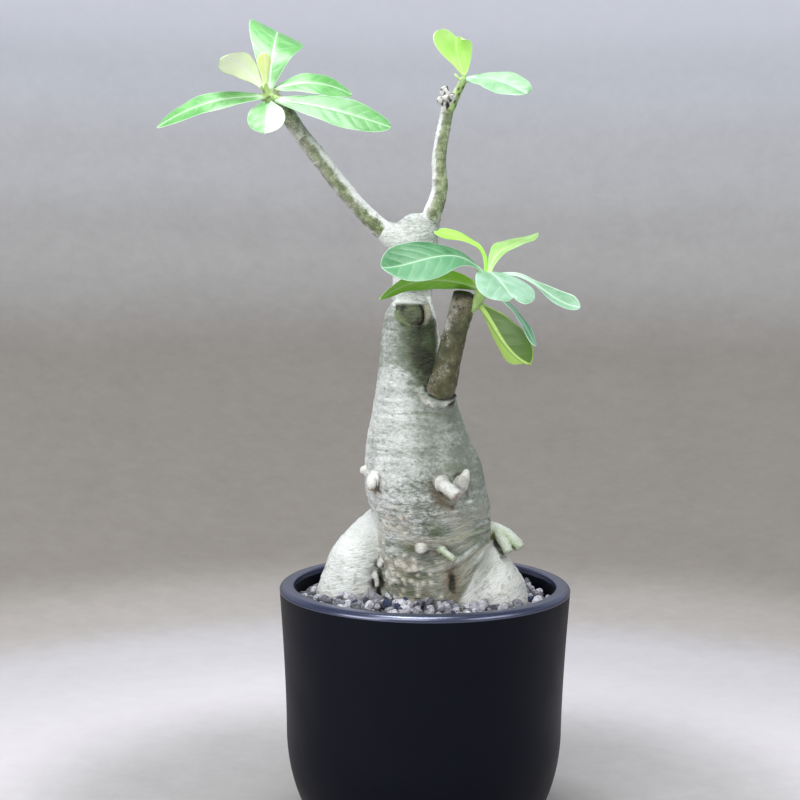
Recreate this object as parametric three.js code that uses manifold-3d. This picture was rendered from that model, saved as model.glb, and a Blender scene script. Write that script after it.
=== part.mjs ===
// Potted desert rose (adenium): a swollen, grey-barked trunk on three thick roots, three bare
// stems that end in small rosettes of leaves, and a round-bottomed matt black pot filled with
// potting mix and a top dressing of porous gravel.
// Millimetres, +Z up. The origin is the centre of the face that the pot stands on.
import * as THREE from 'three';
import { mergeVertices } from 'three/addons/utils/BufferGeometryUtils.js';
import Module from 'manifold-3d';

const wasm = await Module();
wasm.setup();

// ---- driving dimensions ----
const FIT_GAP = 0.3; // kept between pieces that touch
const POT_HEIGHT = 130;
const POT_RIM_RADIUS = 75;
const POT_WALL = 7.6;
const POT_FLOOR = 9;
const POT_FOOT_RADIUS = 52;
const POT_BELLY_HEIGHT = 55; // where the rounded bottom runs into the wall
const POT_BELLY_RADIUS = 71.2;
const POT_BOTTOM_FULLNESS = 10; // how much taller the bottom's ellipse is than the belly
const POT_FOOT_ROUND = 1.5;
const FLOOR_FILLET_HEIGHT = 6;
const FLOOR_FILLET_WIDTH = 9;
const RIM_OUTER_ROUND = 3;
const RIM_INNER_ROUND = 1;
const DRAIN_HOLE_RADIUS = 4;
const DRAIN_CIRCLE_RADIUS = 27;
const DRAIN_HOLES = 4;
const MIX_TOP = 110; // top of the potting mix
const GRAVEL_AT_WALL = 121.5;
const GRAVEL_AT_TRUNK = 124;
const GRAVEL_HEAP_RADIUS = 44; // inside this the gravel lies level, outside it slopes to the wall
const LEAF_THICKNESS = 0.9;
const LEAF_EDGE_THICKNESS = 0.4;
const LEAF_TIP_HALF_WIDTH = 0.6;
const LEAF_STALK_HALF_WIDTH = 1.2;
const LEAF_NOTCH_START = 0.55; // share of the leaf's length where a notch begins to pull back
const POT_SEGMENTS = 40;

// ---- colours ----
const MATERIALS = {
  pot: { color: 0x17191f, roughness: 0.55 },
  mix: { color: 0x3b3128, roughness: 1 },
  gravel: { color: 0x77737a, roughness: 0.95 },
  bark: { color: 0xa9aa98, roughness: 0.8 },
  stem: { color: 0x8e9279, roughness: 0.8 },
  leaf: { color: 0x5fa860, roughness: 0.45 },
  youngLeaf: { color: 0xb4d968, roughness: 0.5 },
};

const object = new THREE.Group();

// Adds one named piece with a material of its own.
function addPiece(name, geometry, look) {
  const material = new THREE.MeshStandardMaterial({ ...MATERIALS[look], metalness: 0 });
  const mesh = new THREE.Mesh(geometry, material);
  mesh.name = name;
  object.add(mesh);
}

// ---- solids ----
// A closed geometry as a solid that can be joined and cut.
function solid(geometry) {
  const bare = geometry.index ? geometry.clone() : geometry;
  bare.deleteAttribute('normal');
  bare.deleteAttribute('uv');
  const merged = mergeVertices(bare, 1e-4);
  return new wasm.Manifold(new wasm.Mesh({
    numProp: 3,
    vertProperties: new Float32Array(merged.attributes.position.array),
    triVerts: new Uint32Array(merged.index.array),
  }));
}

// A solid back as a geometry.
function geometryOf(body) {
  const mesh = body.getMesh();
  const geometry = new THREE.BufferGeometry();
  const count = mesh.vertProperties.length / mesh.numProp;
  const positions = new Float32Array(count * 3);
  for (let i = 0; i < count; i += 1) {
    for (let k = 0; k < 3; k += 1) {
      positions[3 * i + k] = mesh.vertProperties[mesh.numProp * i + k];
    }
  }
  geometry.setAttribute('position', new THREE.BufferAttribute(positions, 3));
  geometry.setIndex(new THREE.BufferAttribute(new Uint32Array(mesh.triVerts), 1));
  geometry.computeVertexNormals();
  return geometry;
}

// Joins solids that overlap.
function join(bodies) {
  return bodies.reduce((whole, body) => whole.add(body));
}

// A profile of [radius, height] points turned about the pot's axis.
function turned(profile, segments) {
  const points = profile.map(([radius, height]) => new THREE.Vector2(radius, height));
  return new THREE.LatheGeometry(points, segments).rotateX(Math.PI / 2);
}

// A round limb along a smooth curve. Each station is [x, y, z, radius]; both ends are domed.
// grow makes it fatter all over, which cuts a bed for it in its neighbour.
function limb(stations, { sides = 12, steps = stations.length * 2, grow = 0, dome = 0.6 } = {}) {
  const centre = new THREE.CatmullRomCurve3(stations.map(([x, y, z]) => new THREE.Vector3(x, y, z)));
  const radii = stations.map((station) => station[3] + grow);
  const capsule = new THREE.CapsuleGeometry(1, steps, 3, sides, steps);
  const position = capsule.attributes.position;
  const span = stations.length - 1;
  const side = new THREE.Vector3();
  const across = new THREE.Vector3();
  for (let i = 0; i < position.count; i += 1) {
    const along = position.getY(i) / steps + 0.5;
    const t = THREE.MathUtils.clamp(along, 0, 1);
    const beyond = (along - t) * steps;
    const cell = Math.min(Math.floor(t * span), span - 1);
    const radius = THREE.MathUtils.lerp(radii[cell], radii[cell + 1], t * span - cell);
    const tangent = centre.getTangent(t);
    side.set(0, 1, 0).addScaledVector(tangent, -tangent.y).normalize();
    across.crossVectors(tangent, side);
    const point = centre.getPoint(t).addScaledVector(tangent, beyond * radius * dome);
    point.addScaledVector(across, position.getX(i) * radius);
    point.addScaledVector(side, position.getZ(i) * radius);
    position.setXYZ(i, point.x, point.y, point.z);
  }
  return solid(capsule);
}

// ---- pot ----
// Outer radius of the pot at a height: an elliptical bottom below the belly, then a wall that
// flares slowly to the rim.
function potRadius(height) {
  if (height >= POT_BELLY_HEIGHT) {
    const rise = (height - POT_BELLY_HEIGHT) / (POT_HEIGHT - POT_BELLY_HEIGHT);
    return POT_BELLY_RADIUS + (POT_RIM_RADIUS - POT_BELLY_RADIUS) * rise ** 1.5;
  }
  const ellipseHeight = POT_BELLY_HEIGHT + POT_BOTTOM_FULLNESS;
  const footShare = Math.sqrt(1 - (POT_BELLY_HEIGHT / ellipseHeight) ** 2);
  const ellipseWidth = (POT_BELLY_RADIUS - POT_FOOT_RADIUS) / (1 - footShare);
  const drop = (POT_BELLY_HEIGHT - height) / ellipseHeight;
  return POT_BELLY_RADIUS - ellipseWidth * (1 - Math.sqrt(1 - drop ** 2));
}

// Heights from low to high, evenly spread.
function heights(low, high, count) {
  return Array.from({ length: count }, (_, i) => low + ((high - low) * i) / (count - 1));
}

// Points of a rounded edge of the rim, its arc's outermost side at radius, from angle a to
// angle b in degrees.
function roundedCorner(radius, round, a, b) {
  return [0, 0.5, 1].map((share) => {
    const angle = THREE.MathUtils.degToRad(a + (b - a) * share);
    return [radius - round + round * Math.cos(angle), POT_HEIGHT - round + round * Math.sin(angle)];
  });
}

const cavityRadius = (height) => potRadius(height) - POT_WALL;

// The rounded corner between floor and wall, from the wall inwards, for a cavity made smaller
// all round by gap.
function floorFillet(gap) {
  const radius = cavityRadius(POT_FLOOR + FLOOR_FILLET_HEIGHT) - gap;
  return [
    [radius - FLOOR_FILLET_WIDTH / 2, POT_FLOOR + FLOOR_FILLET_HEIGHT / 6 + gap],
    [radius - FLOOR_FILLET_WIDTH, POT_FLOOR + gap],
  ];
}

function makePot() {
  const outer = heights(2 * POT_FOOT_ROUND, POT_HEIGHT - 2 * RIM_OUTER_ROUND, 10)
    .map((z) => [potRadius(z), z]);
  const inner = heights(POT_FLOOR + FLOOR_FILLET_HEIGHT, POT_HEIGHT - 2 * RIM_OUTER_ROUND, 7)
    .map((z) => [cavityRadius(z), z]).reverse();
  const rimInner = POT_RIM_RADIUS - POT_WALL;
  const profile = [
    [0, 0], [POT_FOOT_RADIUS - POT_FOOT_ROUND, 0], ...outer,
    ...roundedCorner(POT_RIM_RADIUS, RIM_OUTER_ROUND, 0, 90),
    ...roundedCorner(rimInner + 2 * RIM_INNER_ROUND, RIM_INNER_ROUND, 90, 180),
    ...inner, ...floorFillet(0), [0, POT_FLOOR],
  ];
  let pot = solid(turned(profile, POT_SEGMENTS));
  for (let i = 0; i < DRAIN_HOLES; i += 1) {
    const angle = ((i + 0.5) / DRAIN_HOLES) * 2 * Math.PI;
    const hole = new THREE.CylinderGeometry(DRAIN_HOLE_RADIUS, DRAIN_HOLE_RADIUS, 3 * POT_FLOOR, 16);
    hole.rotateX(Math.PI / 2);
    hole.translate(DRAIN_CIRCLE_RADIUS * Math.cos(angle), DRAIN_CIRCLE_RADIUS * Math.sin(angle), 0);
    pot = pot.subtract(solid(hole));
  }
  addPiece('pot', geometryOf(pot), 'pot');
}

// ---- trunk, roots and head, grown as one ----
// Stations of [x, y, z, radius], from the top down.
const TRUNK = [
  [-7.8, 1, 275, 10.2], [-8, 0.5, 271.5, 11.8], [-8.3, 0, 267.5, 13.3], [-8.5, 0, 256, 14.9],
  [-7.6, 0, 245, 17], [-6.6, 0, 235, 19.2], [-6, 0, 225, 21], [-4.9, 0, 214, 23.6],
  [-3.8, 0, 204, 26.4], [-1.7, 0, 194, 29.3], [-0.5, 0, 183, 30.8], [1.4, 0, 172, 30.3],
  [1.6, 1, 160, 27], [-0.5, 1.2, 146, 23.2], [-3.4, 1.5, 134, 19.8], [-4.6, 2, 121, 18.4],
  [-4.5, 3, 108, 15.5], [-4.5, 4, 96, 10],
];
// Flesh on the trunk's flanks and between the roots.
const SWELLS = [
  [
    [5, 0, 182, 22], [9, -1, 172, 22.3], [12, -2, 164, 20.4], [13.4, -2.5, 155, 18.9],
    [13.8, -2, 148, 16.2], [13.5, -1, 141, 12],
  ],
  [[2, -7, 152, 12], [5.2, -12, 143, 8.2], [6.2, -13.4, 134, 7.3], [6.2, -14, 116, 7]],
  [[12, -8, 154, 11], [13.2, -11, 145, 8.5], [13.4, -12, 134, 6], [13.4, -12, 118, 5.5]],
  [
    [16, -5, 166, 15], [19, -8, 155, 12.5], [20.5, -10.5, 146, 10.5], [22, -14, 133, 8.6],
    [23, -15, 116, 8.5],
  ],
];
const HEAD = [
  [-8, 3, 258, 10], [-7.7, 3.6, 270, 10.4], [-7.4, 3.8, 280, 10.3], [-7, 3, 292, 10.6],
  [-6.3, 2, 303, 11.6], [-6, 2, 310.5, 9.6],
];
// What the stems grow out of.
const COLLARS = [
  [[-9, 2, 302, 8], [-14, 2, 306, 7.2], [-19.5, 2, 309.3, 5.9]],
  [[-4, 2, 303, 7.5], [-0.5, 2.8, 311, 6.4], [2, 3.3, 317, 5.1]],
  [[0, -5, 210, 10], [2.5, -10, 217, 9.8], [5.2, -15.4, 225.6, 9.2]],
];
const ROOTS = [
  [
    [-19.5, 9.5, 157.5, 12], [-25.8, 8.5, 150.5, 14], [-30.3, 7.5, 145, 15],
    [-34.4, 6.5, 138.6, 15.8], [-37.9, 5.5, 128.7, 16], [-40.5, 4.5, 119, 15.9],
    [-41, 5, 105, 12.5], [-40, 6, 91, 7],
  ],
  [[-18, 17, 154, 12], [-27, 21, 142, 14], [-31, 23, 128, 14], [-31, 24, 112, 13], [-31, 24, 97, 8]],
  [
    [22, 3, 153, 10], [24.9, 1, 147.6, 12], [28.4, -0.5, 140.3, 14.2], [32, -2, 132.2, 16],
    [35.8, -3, 121, 17.5], [36.8, -3, 106, 13], [35, -2, 91, 7],
  ],
  [[0, 8, 162, 17], [-5, 20, 148, 16], [-8, 30, 132, 14.5], [-9, 34, 118, 12], [-9, 35, 104, 8]],
  [[10, 6, 160, 16], [19, 17, 144, 14], [25, 26, 128, 12], [27, 29, 114, 9], [27, 29, 102, 6]],
];
const CUT_FACE_POINT = [-7.5, -10.2, 267.6];
const CUT_FACE_TILT = THREE.MathUtils.degToRad(36); // of its normal above the horizontal
// Small stubs of removed shoots, buds and a cut sprout, each from inside the bark outwards.
const STUBS = [
  [[6.5, -23, 187, 3.6], [8.6, -30.5, 186.2, 3.3], [15.4, -38.4, 182, 3.3]],
  [[16.5, -21, 185, 3.8], [18.2, -26.3, 186.8, 3.3], [19.6, -29, 190.6, 2.3], [20.2, -30, 193, 1.3]],
  [[-21, -10, 188.5, 4.4], [-26.3, -18, 187, 3.1], [-27.2, -19.4, 183.4, 2.5]],
  [[-27, -6, 189.5, 3.2], [-31.6, -6.5, 189.6, 2.1]],
  [[-1.8, -20, 153.4, 2.7], [-2.1, -24.9, 152.7, 2.6]],
  [[7.5, -20, 152.4, 1.9], [10.6, -27, 150.9, 1.7], [14.4, -30.8, 148.8, 1.75]],
  [
    [26, 1, 157, 4.2], [33, 0, 158.4, 3.9], [38.6, -2.6, 157.4, 3.5], [43.2, -4.2, 155.6, 2.9],
    [46.6, -5.2, 152.4, 2.7], [48.4, -5.6, 150.2, 2.6],
  ],
  [[38, -4.5, 156.6, 2.8], [40.6, -7.4, 152.6, 2.2], [42.8, -9, 148.2, 2.1]],
];

// The large wound where a leader was removed: everything in front of a slanted plane.
function cutFaceBlock() {
  const size = 60;
  const block = new THREE.BoxGeometry(size, size, size);
  block.translate(0, -size / 2, 0);
  block.rotateX(-CUT_FACE_TILT);
  block.translate(...CUT_FACE_POINT);
  return solid(block);
}

function makeCaudex(grow) {
  const trunk = limb(TRUNK, { sides: 16, steps: 26, grow }).subtract(cutFaceBlock());
  const head = limb(HEAD, { sides: 12, steps: 7, grow });
  const grown = [...SWELLS, ...COLLARS, ...ROOTS].map((part) => limb(part, { steps: 8, grow }));
  const stubs = STUBS.map((stub) => limb(stub, { sides: 7, steps: stub.length, grow }));
  return join([trunk, head, ...grown, ...stubs]);
}

// ---- stems ----
const LEFT_STEM = [
  [-12, 2, 306, 5.4], [-21, 2, 310, 4.9], [-32.7, 0, 320.5, 4.4], [-43, -1, 332, 4.3],
  [-52.6, -2, 344.5, 4.3], [-65.3, -4, 360.5, 4], [-72, -6, 370.7, 4], [-79, -8, 378, 3.6],
];
const RIGHT_STEM = [
  [-1, 3, 310, 5.4], [2, 3, 318.5, 4.8], [5.6, 4.8, 330, 4.1], [5.9, 5.6, 336, 3.9], [5.4, 6.5, 345.4, 3.6],
  [6.2, 7.4, 354.3, 3.4], [8.7, 9, 368, 3.3], [9.4, 9.5, 375, 3.3],
];
const RIGHT_TWIG = [
  [10, 9.3, 372.5, 3], [11.7, 9.3, 375.2, 2.6], [14, 9, 379.8, 2.2], [16, 9, 383.8, 2.1],
  [17.6, 9, 387.3, 1.9],
];
const RIGHT_KNOBS = [
  [[9.5, 8.8, 374.5, 2.5], [9, 8.6, 379, 2.4], [8.2, 8.5, 382.6, 2.1]],
  [[9, 8.5, 373.5, 2.1], [5.6, 7.5, 377.2, 1.9]],
  [[10.5, 8.5, 374, 2.2], [11.9, 7, 379, 1.8]],
  [[9, 8, 373, 1.8], [8.7, 5.6, 378, 1.5]],
];
const FRONT_STEM = [
  [4, -13, 222, 7.4], [8, -21.5, 235, 7.1], [10, -23, 243, 6.4], [12, -24.3, 253, 5.9],
  [15, -26.7, 264.5, 5.8], [17, -28, 274, 5.9], [17.9, -28.8, 280.4, 5.7],
];
const FRONT_SHOOT = [
  [19, -28, 271, 2.6], [24.3, -30, 277, 2.9], [27.5, -31, 284, 2.9], [29, -32, 289.5, 2.2],
];

// ---- leaves ----
// Each leaf is a thin blade about a curved midrib. base and tip are the midrib's ends, face is
// the way its upper side looks, rise and sway bend the midrib out of the straight line at a third
// and two thirds of its length (along face and sideways). cup lifts both margins roundly and fold
// straight, twist turns the blade towards the tip, wide is where along the leaf it is widest, full
// how blunt its outline is, end the share of that outline which is there (below 1 the tip is cut
// off), notch how far the midrib stops short of a cut tip, corner how far its corners do, and skew
// how far one half reaches past the other.
const LEAVES = [
  { name: 'leaf_left_upright', look: 'leaf',
    base: [-79, -7.5, 378], tip: [-79.3, 33.9, 413.3], face: [-0.05, -0.7, 0.71],
    width: 30.4, rise: [13.6, 10.6], sway: [0.3, 3.4], twist: -33.5, wide: 0.74, full: 0.35,
    notch: 6.5, skew: 2.9, end: 0.9 },
  { name: 'leaf_left_pale', look: 'youngLeaf',
    base: [-81, -8.2, 379.4], tip: [-101.3, -20.1, 394.2], face: [-0.68, -0.73, -0.04],
    width: 19, rise: [-4.4, -8.3], sway: [-0.5, -0.4], cup: 0.11, twist: -7, wide: 0.72,
    full: 0.57, skew: 0.5 },
  { name: 'leaf_left_bud', look: 'youngLeaf',
    base: [-80.5, -10.9, 379.3], tip: [-80.8, -18.3, 397.3], face: [0.36, -0.92, 0.15],
    width: 7.4, rise: [-1, 1], cup: -0.25, wide: 0.77, full: 0.56 },
  { name: 'leaf_left_inner', look: 'leaf',
    base: [-77.5, -4.5, 380], tip: [-39, 9, 379], face: [0.2, -0.6, 0.8],
    width: 19, rise: [8, 7], wide: 0.6, full: 0.55 },
  { name: 'leaf_left_long_right', look: 'leaf',
    base: [-76.5, -10.5, 375], tip: [-18.5, -14.5, 361.5], face: [-0.05, -0.7, 0.7],
    width: 22, rise: [4, 3], twist: 8, wide: 0.63, full: 0.51 },
  { name: 'leaf_left_long_left', look: 'leaf',
    base: [-80, -8, 376.3], tip: [-133.5, -19.5, 360.5], face: [-0.2, -0.65, 0.75],
    width: 15.5, rise: [8, 8], wide: 0.55, full: 0.62 },
  { name: 'leaf_left_front', look: 'leaf',
    base: [-79.5, -10, 374.5], tip: [-78.5, -37.5, 357], face: [0, -0.5, 0.85],
    width: 18.5, rise: [3, 1], wide: 0.6, full: 0.6 },
  { name: 'leaf_right_folded', look: 'youngLeaf',
    base: [17.7, 9, 388], tip: [14, 20.5, 410.2], face: [0.08, -0.97, 0.24],
    width: 18.6, rise: [-4.8, -2.1], sway: [0.5, -2.2], cup: 0.59, fold: 0.7, twist: 23,
    wide: 0.7, full: 0.35, notch: 1, skew: 3.1, end: 0.95, corner: 2.9 },
  { name: 'leaf_right_flat', look: 'leaf',
    base: [19.3, 7.4, 386.6], tip: [47.7, -20.5, 377.8], face: [-0.08, -0.68, 0.73],
    width: 19.3, rise: [2.7, 1.7], sway: [-6.1, -1.8], cup: -0.22, fold: 0.22, twist: 10.9,
    wide: 0.63, full: 0.41 },
  { name: 'leaf_right_bud', look: 'youngLeaf',
    base: [15.6, 6.9, 386.8], tip: [12.8, 4.4, 389.2], face: [0.4, -0.6, 0.7],
    width: 3, rise: [0.5, 0.5], wide: 0.55, full: 0.6 },
  { name: 'leaf_front_broad', look: 'leaf',
    base: [28.5, -31.5, 288], tip: [-21.2, -62, 293.8], face: [-0.18, -0.65, 0.74],
    width: 30.3, rise: [18.3, 0.8], sway: [8.8, 1.3], twist: -2.9, wide: 0.68, full: 0.64 },
  { name: 'leaf_front_lower_left', look: 'leaf',
    base: [27, -31, 283], tip: [-23, -42, 278], face: [0.05, 0.5, 0.85],
    width: 22, rise: [11, 11], wide: 0.5, full: 0.65 },
  { name: 'leaf_front_young_left', look: 'youngLeaf',
    base: [28, -30.5, 288.5], tip: [4.1, -11.4, 310.8], face: [0.54, -0.73, 0.43],
    width: 7, rise: [10, 5.4], sway: [13.1, 4], twist: 16, wide: 0.84, full: 0.47, skew: 0.7 },
  { name: 'leaf_front_young_right', look: 'youngLeaf',
    base: [30, -31.5, 288.5], tip: [54.8, -7.6, 310.3], face: [-0.55, -0.65, 0.52],
    width: 20.4, rise: [12.8, 0], sway: [-2.9, -0.7], cup: 0.12, twist: 12.3, wide: 0.64,
    full: 0.87 },
  { name: 'leaf_front_near', look: 'leaf',
    base: [29.5, -33, 288], tip: [40.7, -68.9, 278.2], face: [0.18, -0.51, 0.84],
    width: 30.6, rise: [14.4, 0.4], sway: [8.7, -3.2], cup: -0.1, fold: 0.07, twist: 4.2,
    wide: 0.63, full: 0.96, notch: 6.9, skew: -1, end: 0.93 },
  { name: 'leaf_front_right', look: 'leaf',
    base: [29.5, -31, 287], tip: [73.8, -41.9, 275.1], face: [0.55, -0.58, 0.6],
    width: 10.2, rise: [12.7, -1.8], sway: [-10.1, 4.7], cup: 0.19, fold: 0.22, twist: -10.4,
    wide: 0.84, full: 0.54 },
  { name: 'leaf_front_hanging', look: 'leaf',
    base: [24, -30, 276], tip: [48.1, -37, 247.1], face: [0.58, 0.62, 0.53],
    width: 22, rise: [2.8, -4.3], sway: [-1.9, -3.3], cup: 0.22, fold: 0.44, twist: 13.8,
    wide: 0.67, full: 0.48, skew: -2.7 },
  { name: 'leaf_front_lower_right', look: 'leaf',
    base: [28, -30, 284], tip: [51.9, -47.5, 256.6], face: [0.74, -0.34, 0.58],
    width: 7.6, rise: [3.9, 1.6], sway: [-9.5, -5.2], twist: -5.8, wide: 0.62, full: 0.45 },
];

function leafBlade(leaf) {
  const { rise = [0, 0], sway = [0, 0], cup = 0, fold = 0, twist = 0 } = leaf;
  const { notch = 0, corner = 0, skew = 0, end = 1 } = leaf;
  const base = new THREE.Vector3(...leaf.base);
  const tip = new THREE.Vector3(...leaf.tip);
  const chord = tip.clone().sub(base);
  const forward = chord.clone().normalize();
  const up = new THREE.Vector3(...leaf.face);
  up.addScaledVector(forward, -up.dot(forward)).normalize();
  const across = new THREE.Vector3().crossVectors(forward, up);
  const bend = (share, i) => base.clone().addScaledVector(chord, share)
    .addScaledVector(up, rise[i]).addScaledVector(across, sway[i]);
  const midrib = new THREE.CubicBezierCurve3(base, bend(1 / 3, 0), bend(2 / 3, 1), tip);
  const blade = new THREE.BoxGeometry(2, 1, 1, 4, 1, 10);
  const position = blade.attributes.position;
  const stretch = Math.log(0.5) / Math.log(leaf.wide);
  const stalk = Math.min(LEAF_STALK_HALF_WIDTH, leaf.width / 6);
  const normal = new THREE.Vector3();
  const side = new THREE.Vector3();
  for (let i = 0; i < position.count; i += 1) {
    const u = position.getX(i);
    const t = 0.5 - position.getZ(i);
    const tangent = midrib.getTangent(t);
    normal.copy(up).addScaledVector(tangent, -up.dot(tangent)).normalize();
    side.crossVectors(tangent, normal);
    const outline = Math.max(Math.sin(Math.PI * (end * t) ** stretch), 0);
    const swell = (leaf.width / 2) * outline ** leaf.full;
    const breadth = Math.hypot(swell, stalk * Math.sqrt(1 - t));
    const half = Math.max(breadth, LEAF_TIP_HALF_WIDTH);
    const out = u * half;
    const raise = half * (cup * u * u + fold * Math.abs(u));
    const turn = THREE.MathUtils.degToRad(twist) * t;
    const nearTip = THREE.MathUtils.clamp((t - LEAF_NOTCH_START) / (1 - LEAF_NOTCH_START), 0, 1);
    const held = notch * (1 - Math.abs(u)) ** 2 + corner * u ** 4;
    const back = held * nearTip ** 2 + skew * u * t * t;
    const edge = Math.max(Math.abs(u), t) ** 4;
    const depth = THREE.MathUtils.lerp(LEAF_THICKNESS, LEAF_EDGE_THICKNESS, edge) * position.getY(i);
    const point = midrib.getPoint(t).addScaledVector(tangent, -back);
    point.addScaledVector(side, out * Math.cos(turn) - (raise + depth) * Math.sin(turn));
    point.addScaledVector(normal, out * Math.sin(turn) + (raise + depth) * Math.cos(turn));
    position.setXYZ(i, point.x, point.y, point.z);
  }
  return solid(blade);
}

// ---- soil ----
// The bed between two heights inside the pot, cut around the buried roots.
function makeBed(profile, roots) {
  return geometryOf(solid(turned(profile, POT_SEGMENTS)).subtract(roots));
}

makePot();

const caudex = makeCaudex(0);
const caudexSeat = makeCaudex(FIT_GAP);
addPiece('caudex', geometryOf(caudex), 'bark');

const leftStem = limb(LEFT_STEM, { sides: 10 });
const rightStem = join([
  limb(RIGHT_STEM, { sides: 10 }), limb(RIGHT_TWIG, { sides: 8, steps: 5 }),
  ...RIGHT_KNOBS.map((knob) => limb(knob, { sides: 8, steps: 2 })),
]);
const frontStem = join([
  limb(FRONT_STEM, { sides: 12, dome: 0.25 }), limb(FRONT_SHOOT, { sides: 8, steps: 6 }),
]);
addPiece('stem_left', geometryOf(leftStem.subtract(caudexSeat)), 'stem');
addPiece('stem_right', geometryOf(rightStem.subtract(caudexSeat)), 'stem');
addPiece('stem_front', geometryOf(frontStem.subtract(caudexSeat)), 'stem');

const stemSeat = join([
  limb(LEFT_STEM, { sides: 10, grow: FIT_GAP }), limb(RIGHT_STEM, { sides: 10, grow: FIT_GAP }),
  limb(RIGHT_TWIG, { sides: 8, steps: 5, grow: FIT_GAP }),
  limb(FRONT_STEM, { sides: 12, dome: 0.25, grow: FIT_GAP }),
  limb(FRONT_SHOOT, { sides: 8, steps: 6, grow: FIT_GAP }),
]);
for (const leaf of LEAVES) {
  addPiece(leaf.name, geometryOf(leafBlade(leaf).subtract(stemSeat)), leaf.look);
}

const wallGap = (height) => cavityRadius(height) - FIT_GAP;
const mixHeights = heights(POT_FLOOR + FLOOR_FILLET_HEIGHT, MIX_TOP, 6);
addPiece('potting_mix', makeBed([
  [0, POT_FLOOR + FIT_GAP], ...floorFillet(FIT_GAP).reverse(),
  ...mixHeights.map((z) => [wallGap(z), z]), [0, MIX_TOP],
], caudexSeat), 'mix');
addPiece('gravel_top', makeBed([
  [0, MIX_TOP + FIT_GAP], [wallGap(MIX_TOP), MIX_TOP + FIT_GAP],
  [wallGap(GRAVEL_AT_WALL), GRAVEL_AT_WALL], [GRAVEL_HEAP_RADIUS, GRAVEL_AT_TRUNK],
  [0, GRAVEL_AT_TRUNK],
], caudexSeat), 'gravel');

export default object;
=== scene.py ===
"""Potted desert rose (adenium): the looks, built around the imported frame.

Every shape is worked out in millimetres with numpy, in the frame's own axes (+Z up, the plant's
front towards -Y, origin under the middle of the pot), and becomes metres when its mesh is made.
"""

import bmesh
import bpy
import numpy as np
from mathutils import Matrix, Vector


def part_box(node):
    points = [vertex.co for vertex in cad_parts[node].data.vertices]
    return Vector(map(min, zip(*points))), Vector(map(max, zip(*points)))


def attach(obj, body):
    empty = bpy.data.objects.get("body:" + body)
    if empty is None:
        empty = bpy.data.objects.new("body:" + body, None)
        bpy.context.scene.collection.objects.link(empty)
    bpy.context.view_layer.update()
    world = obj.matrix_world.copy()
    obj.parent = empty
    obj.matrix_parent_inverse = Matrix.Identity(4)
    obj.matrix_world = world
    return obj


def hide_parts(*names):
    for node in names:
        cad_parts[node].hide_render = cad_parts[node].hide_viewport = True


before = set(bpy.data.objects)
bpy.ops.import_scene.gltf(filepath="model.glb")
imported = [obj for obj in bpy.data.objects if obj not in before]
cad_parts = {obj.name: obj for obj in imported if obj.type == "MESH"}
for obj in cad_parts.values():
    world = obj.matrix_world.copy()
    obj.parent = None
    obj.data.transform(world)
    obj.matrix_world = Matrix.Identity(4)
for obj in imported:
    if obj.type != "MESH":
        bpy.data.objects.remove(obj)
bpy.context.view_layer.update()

MM = 0.001
METRE = 1000.0
UP = np.array([0.0, 0.0, 1.0])

pot_top_corner = np.array(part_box("pot")[1]) / MM
POT_HEIGHT = pot_top_corner[2]
POT_RIM_RADIUS = pot_top_corner[0]


# --- camera and light
# The camera's place in millimetres, how far it looks down, aside and askew in degrees, and its
# lens; it sees nothing nearer than NEAREST_SEEN metres.
CAMERA_PLACE = [0.0, -845.8, 315.4]
CAMERA_PITCH, CAMERA_YAW, CAMERA_ROLL = 6.107, -0.91, 0.367
LENS_LENGTH, SENSOR_WIDTH = 75.0, 36.0
NEAREST_SEEN = 0.01
# Square soft lamps: name, place and aim in metres, side in metres, watts and colour.
SOFTBOXES = [
    ("high_front_softbox", (-0.3, -0.86, 1.05), (0, 0, 0.2), 0.8, 8.6, (1.0, 0.99, 0.98)),
    ("overhead_softbox", (-0.08, -0.05, 1.1), (0, 0, 0.12), 0.38, 8.0, (0.96, 0.98, 1.0)),
    ("right_fill_softbox", (0.75, -0.55, 0.6), (0, 0, 0.2), 0.6, 3.6, (1.0, 1.0, 1.0)),
    ("low_left_softbox", (-0.8, -0.72, 0.32), (-0.03, 0, 0.18), 0.6, 5.5, (1.0, 0.99, 0.98))]
ROOM_COLOUR, ROOM_STRENGTH = (0.8, 0.85, 0.93, 1.0), 0.25


def make_camera():
    """A long-lens camera in front of the plant, looking six degrees down."""
    data = bpy.data.cameras.new("camera")
    data.lens = LENS_LENGTH
    data.sensor_width = SENSOR_WIDTH
    data.clip_start = NEAREST_SEEN
    camera = bpy.data.objects.new("camera", data)
    bpy.context.collection.objects.link(camera)
    pitch, yaw, roll = np.radians([CAMERA_PITCH, CAMERA_YAW, CAMERA_ROLL])
    forward = np.array([np.sin(yaw) * np.cos(pitch), np.cos(yaw) * np.cos(pitch), -np.sin(pitch)])
    right = np.array([np.cos(yaw), -np.sin(yaw), 0.0])
    up = np.cross(right, forward)
    matrix = np.eye(4)
    matrix[:3, 0] = right * np.cos(roll) + up * np.sin(roll)
    matrix[:3, 1] = -right * np.sin(roll) + up * np.cos(roll)
    matrix[:3, 2] = -forward
    matrix[:3, 3] = np.array(CAMERA_PLACE) * MM
    camera.matrix_world = Matrix(matrix.tolist())
    bpy.context.scene.camera = camera


def add_softbox(name, place, target, side, watts, colour):
    """A square lamp at place, facing target."""
    data = bpy.data.lights.new(name, "AREA")
    data.shape = "SQUARE"
    data.size = side
    data.energy = watts
    data.color = colour
    lamp = bpy.data.objects.new(name, data)
    bpy.context.collection.objects.link(lamp)
    lamp.location = place
    lamp.rotation_euler = (Vector(target) - Vector(place)).to_track_quat("-Z", "Y").to_euler()


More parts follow.
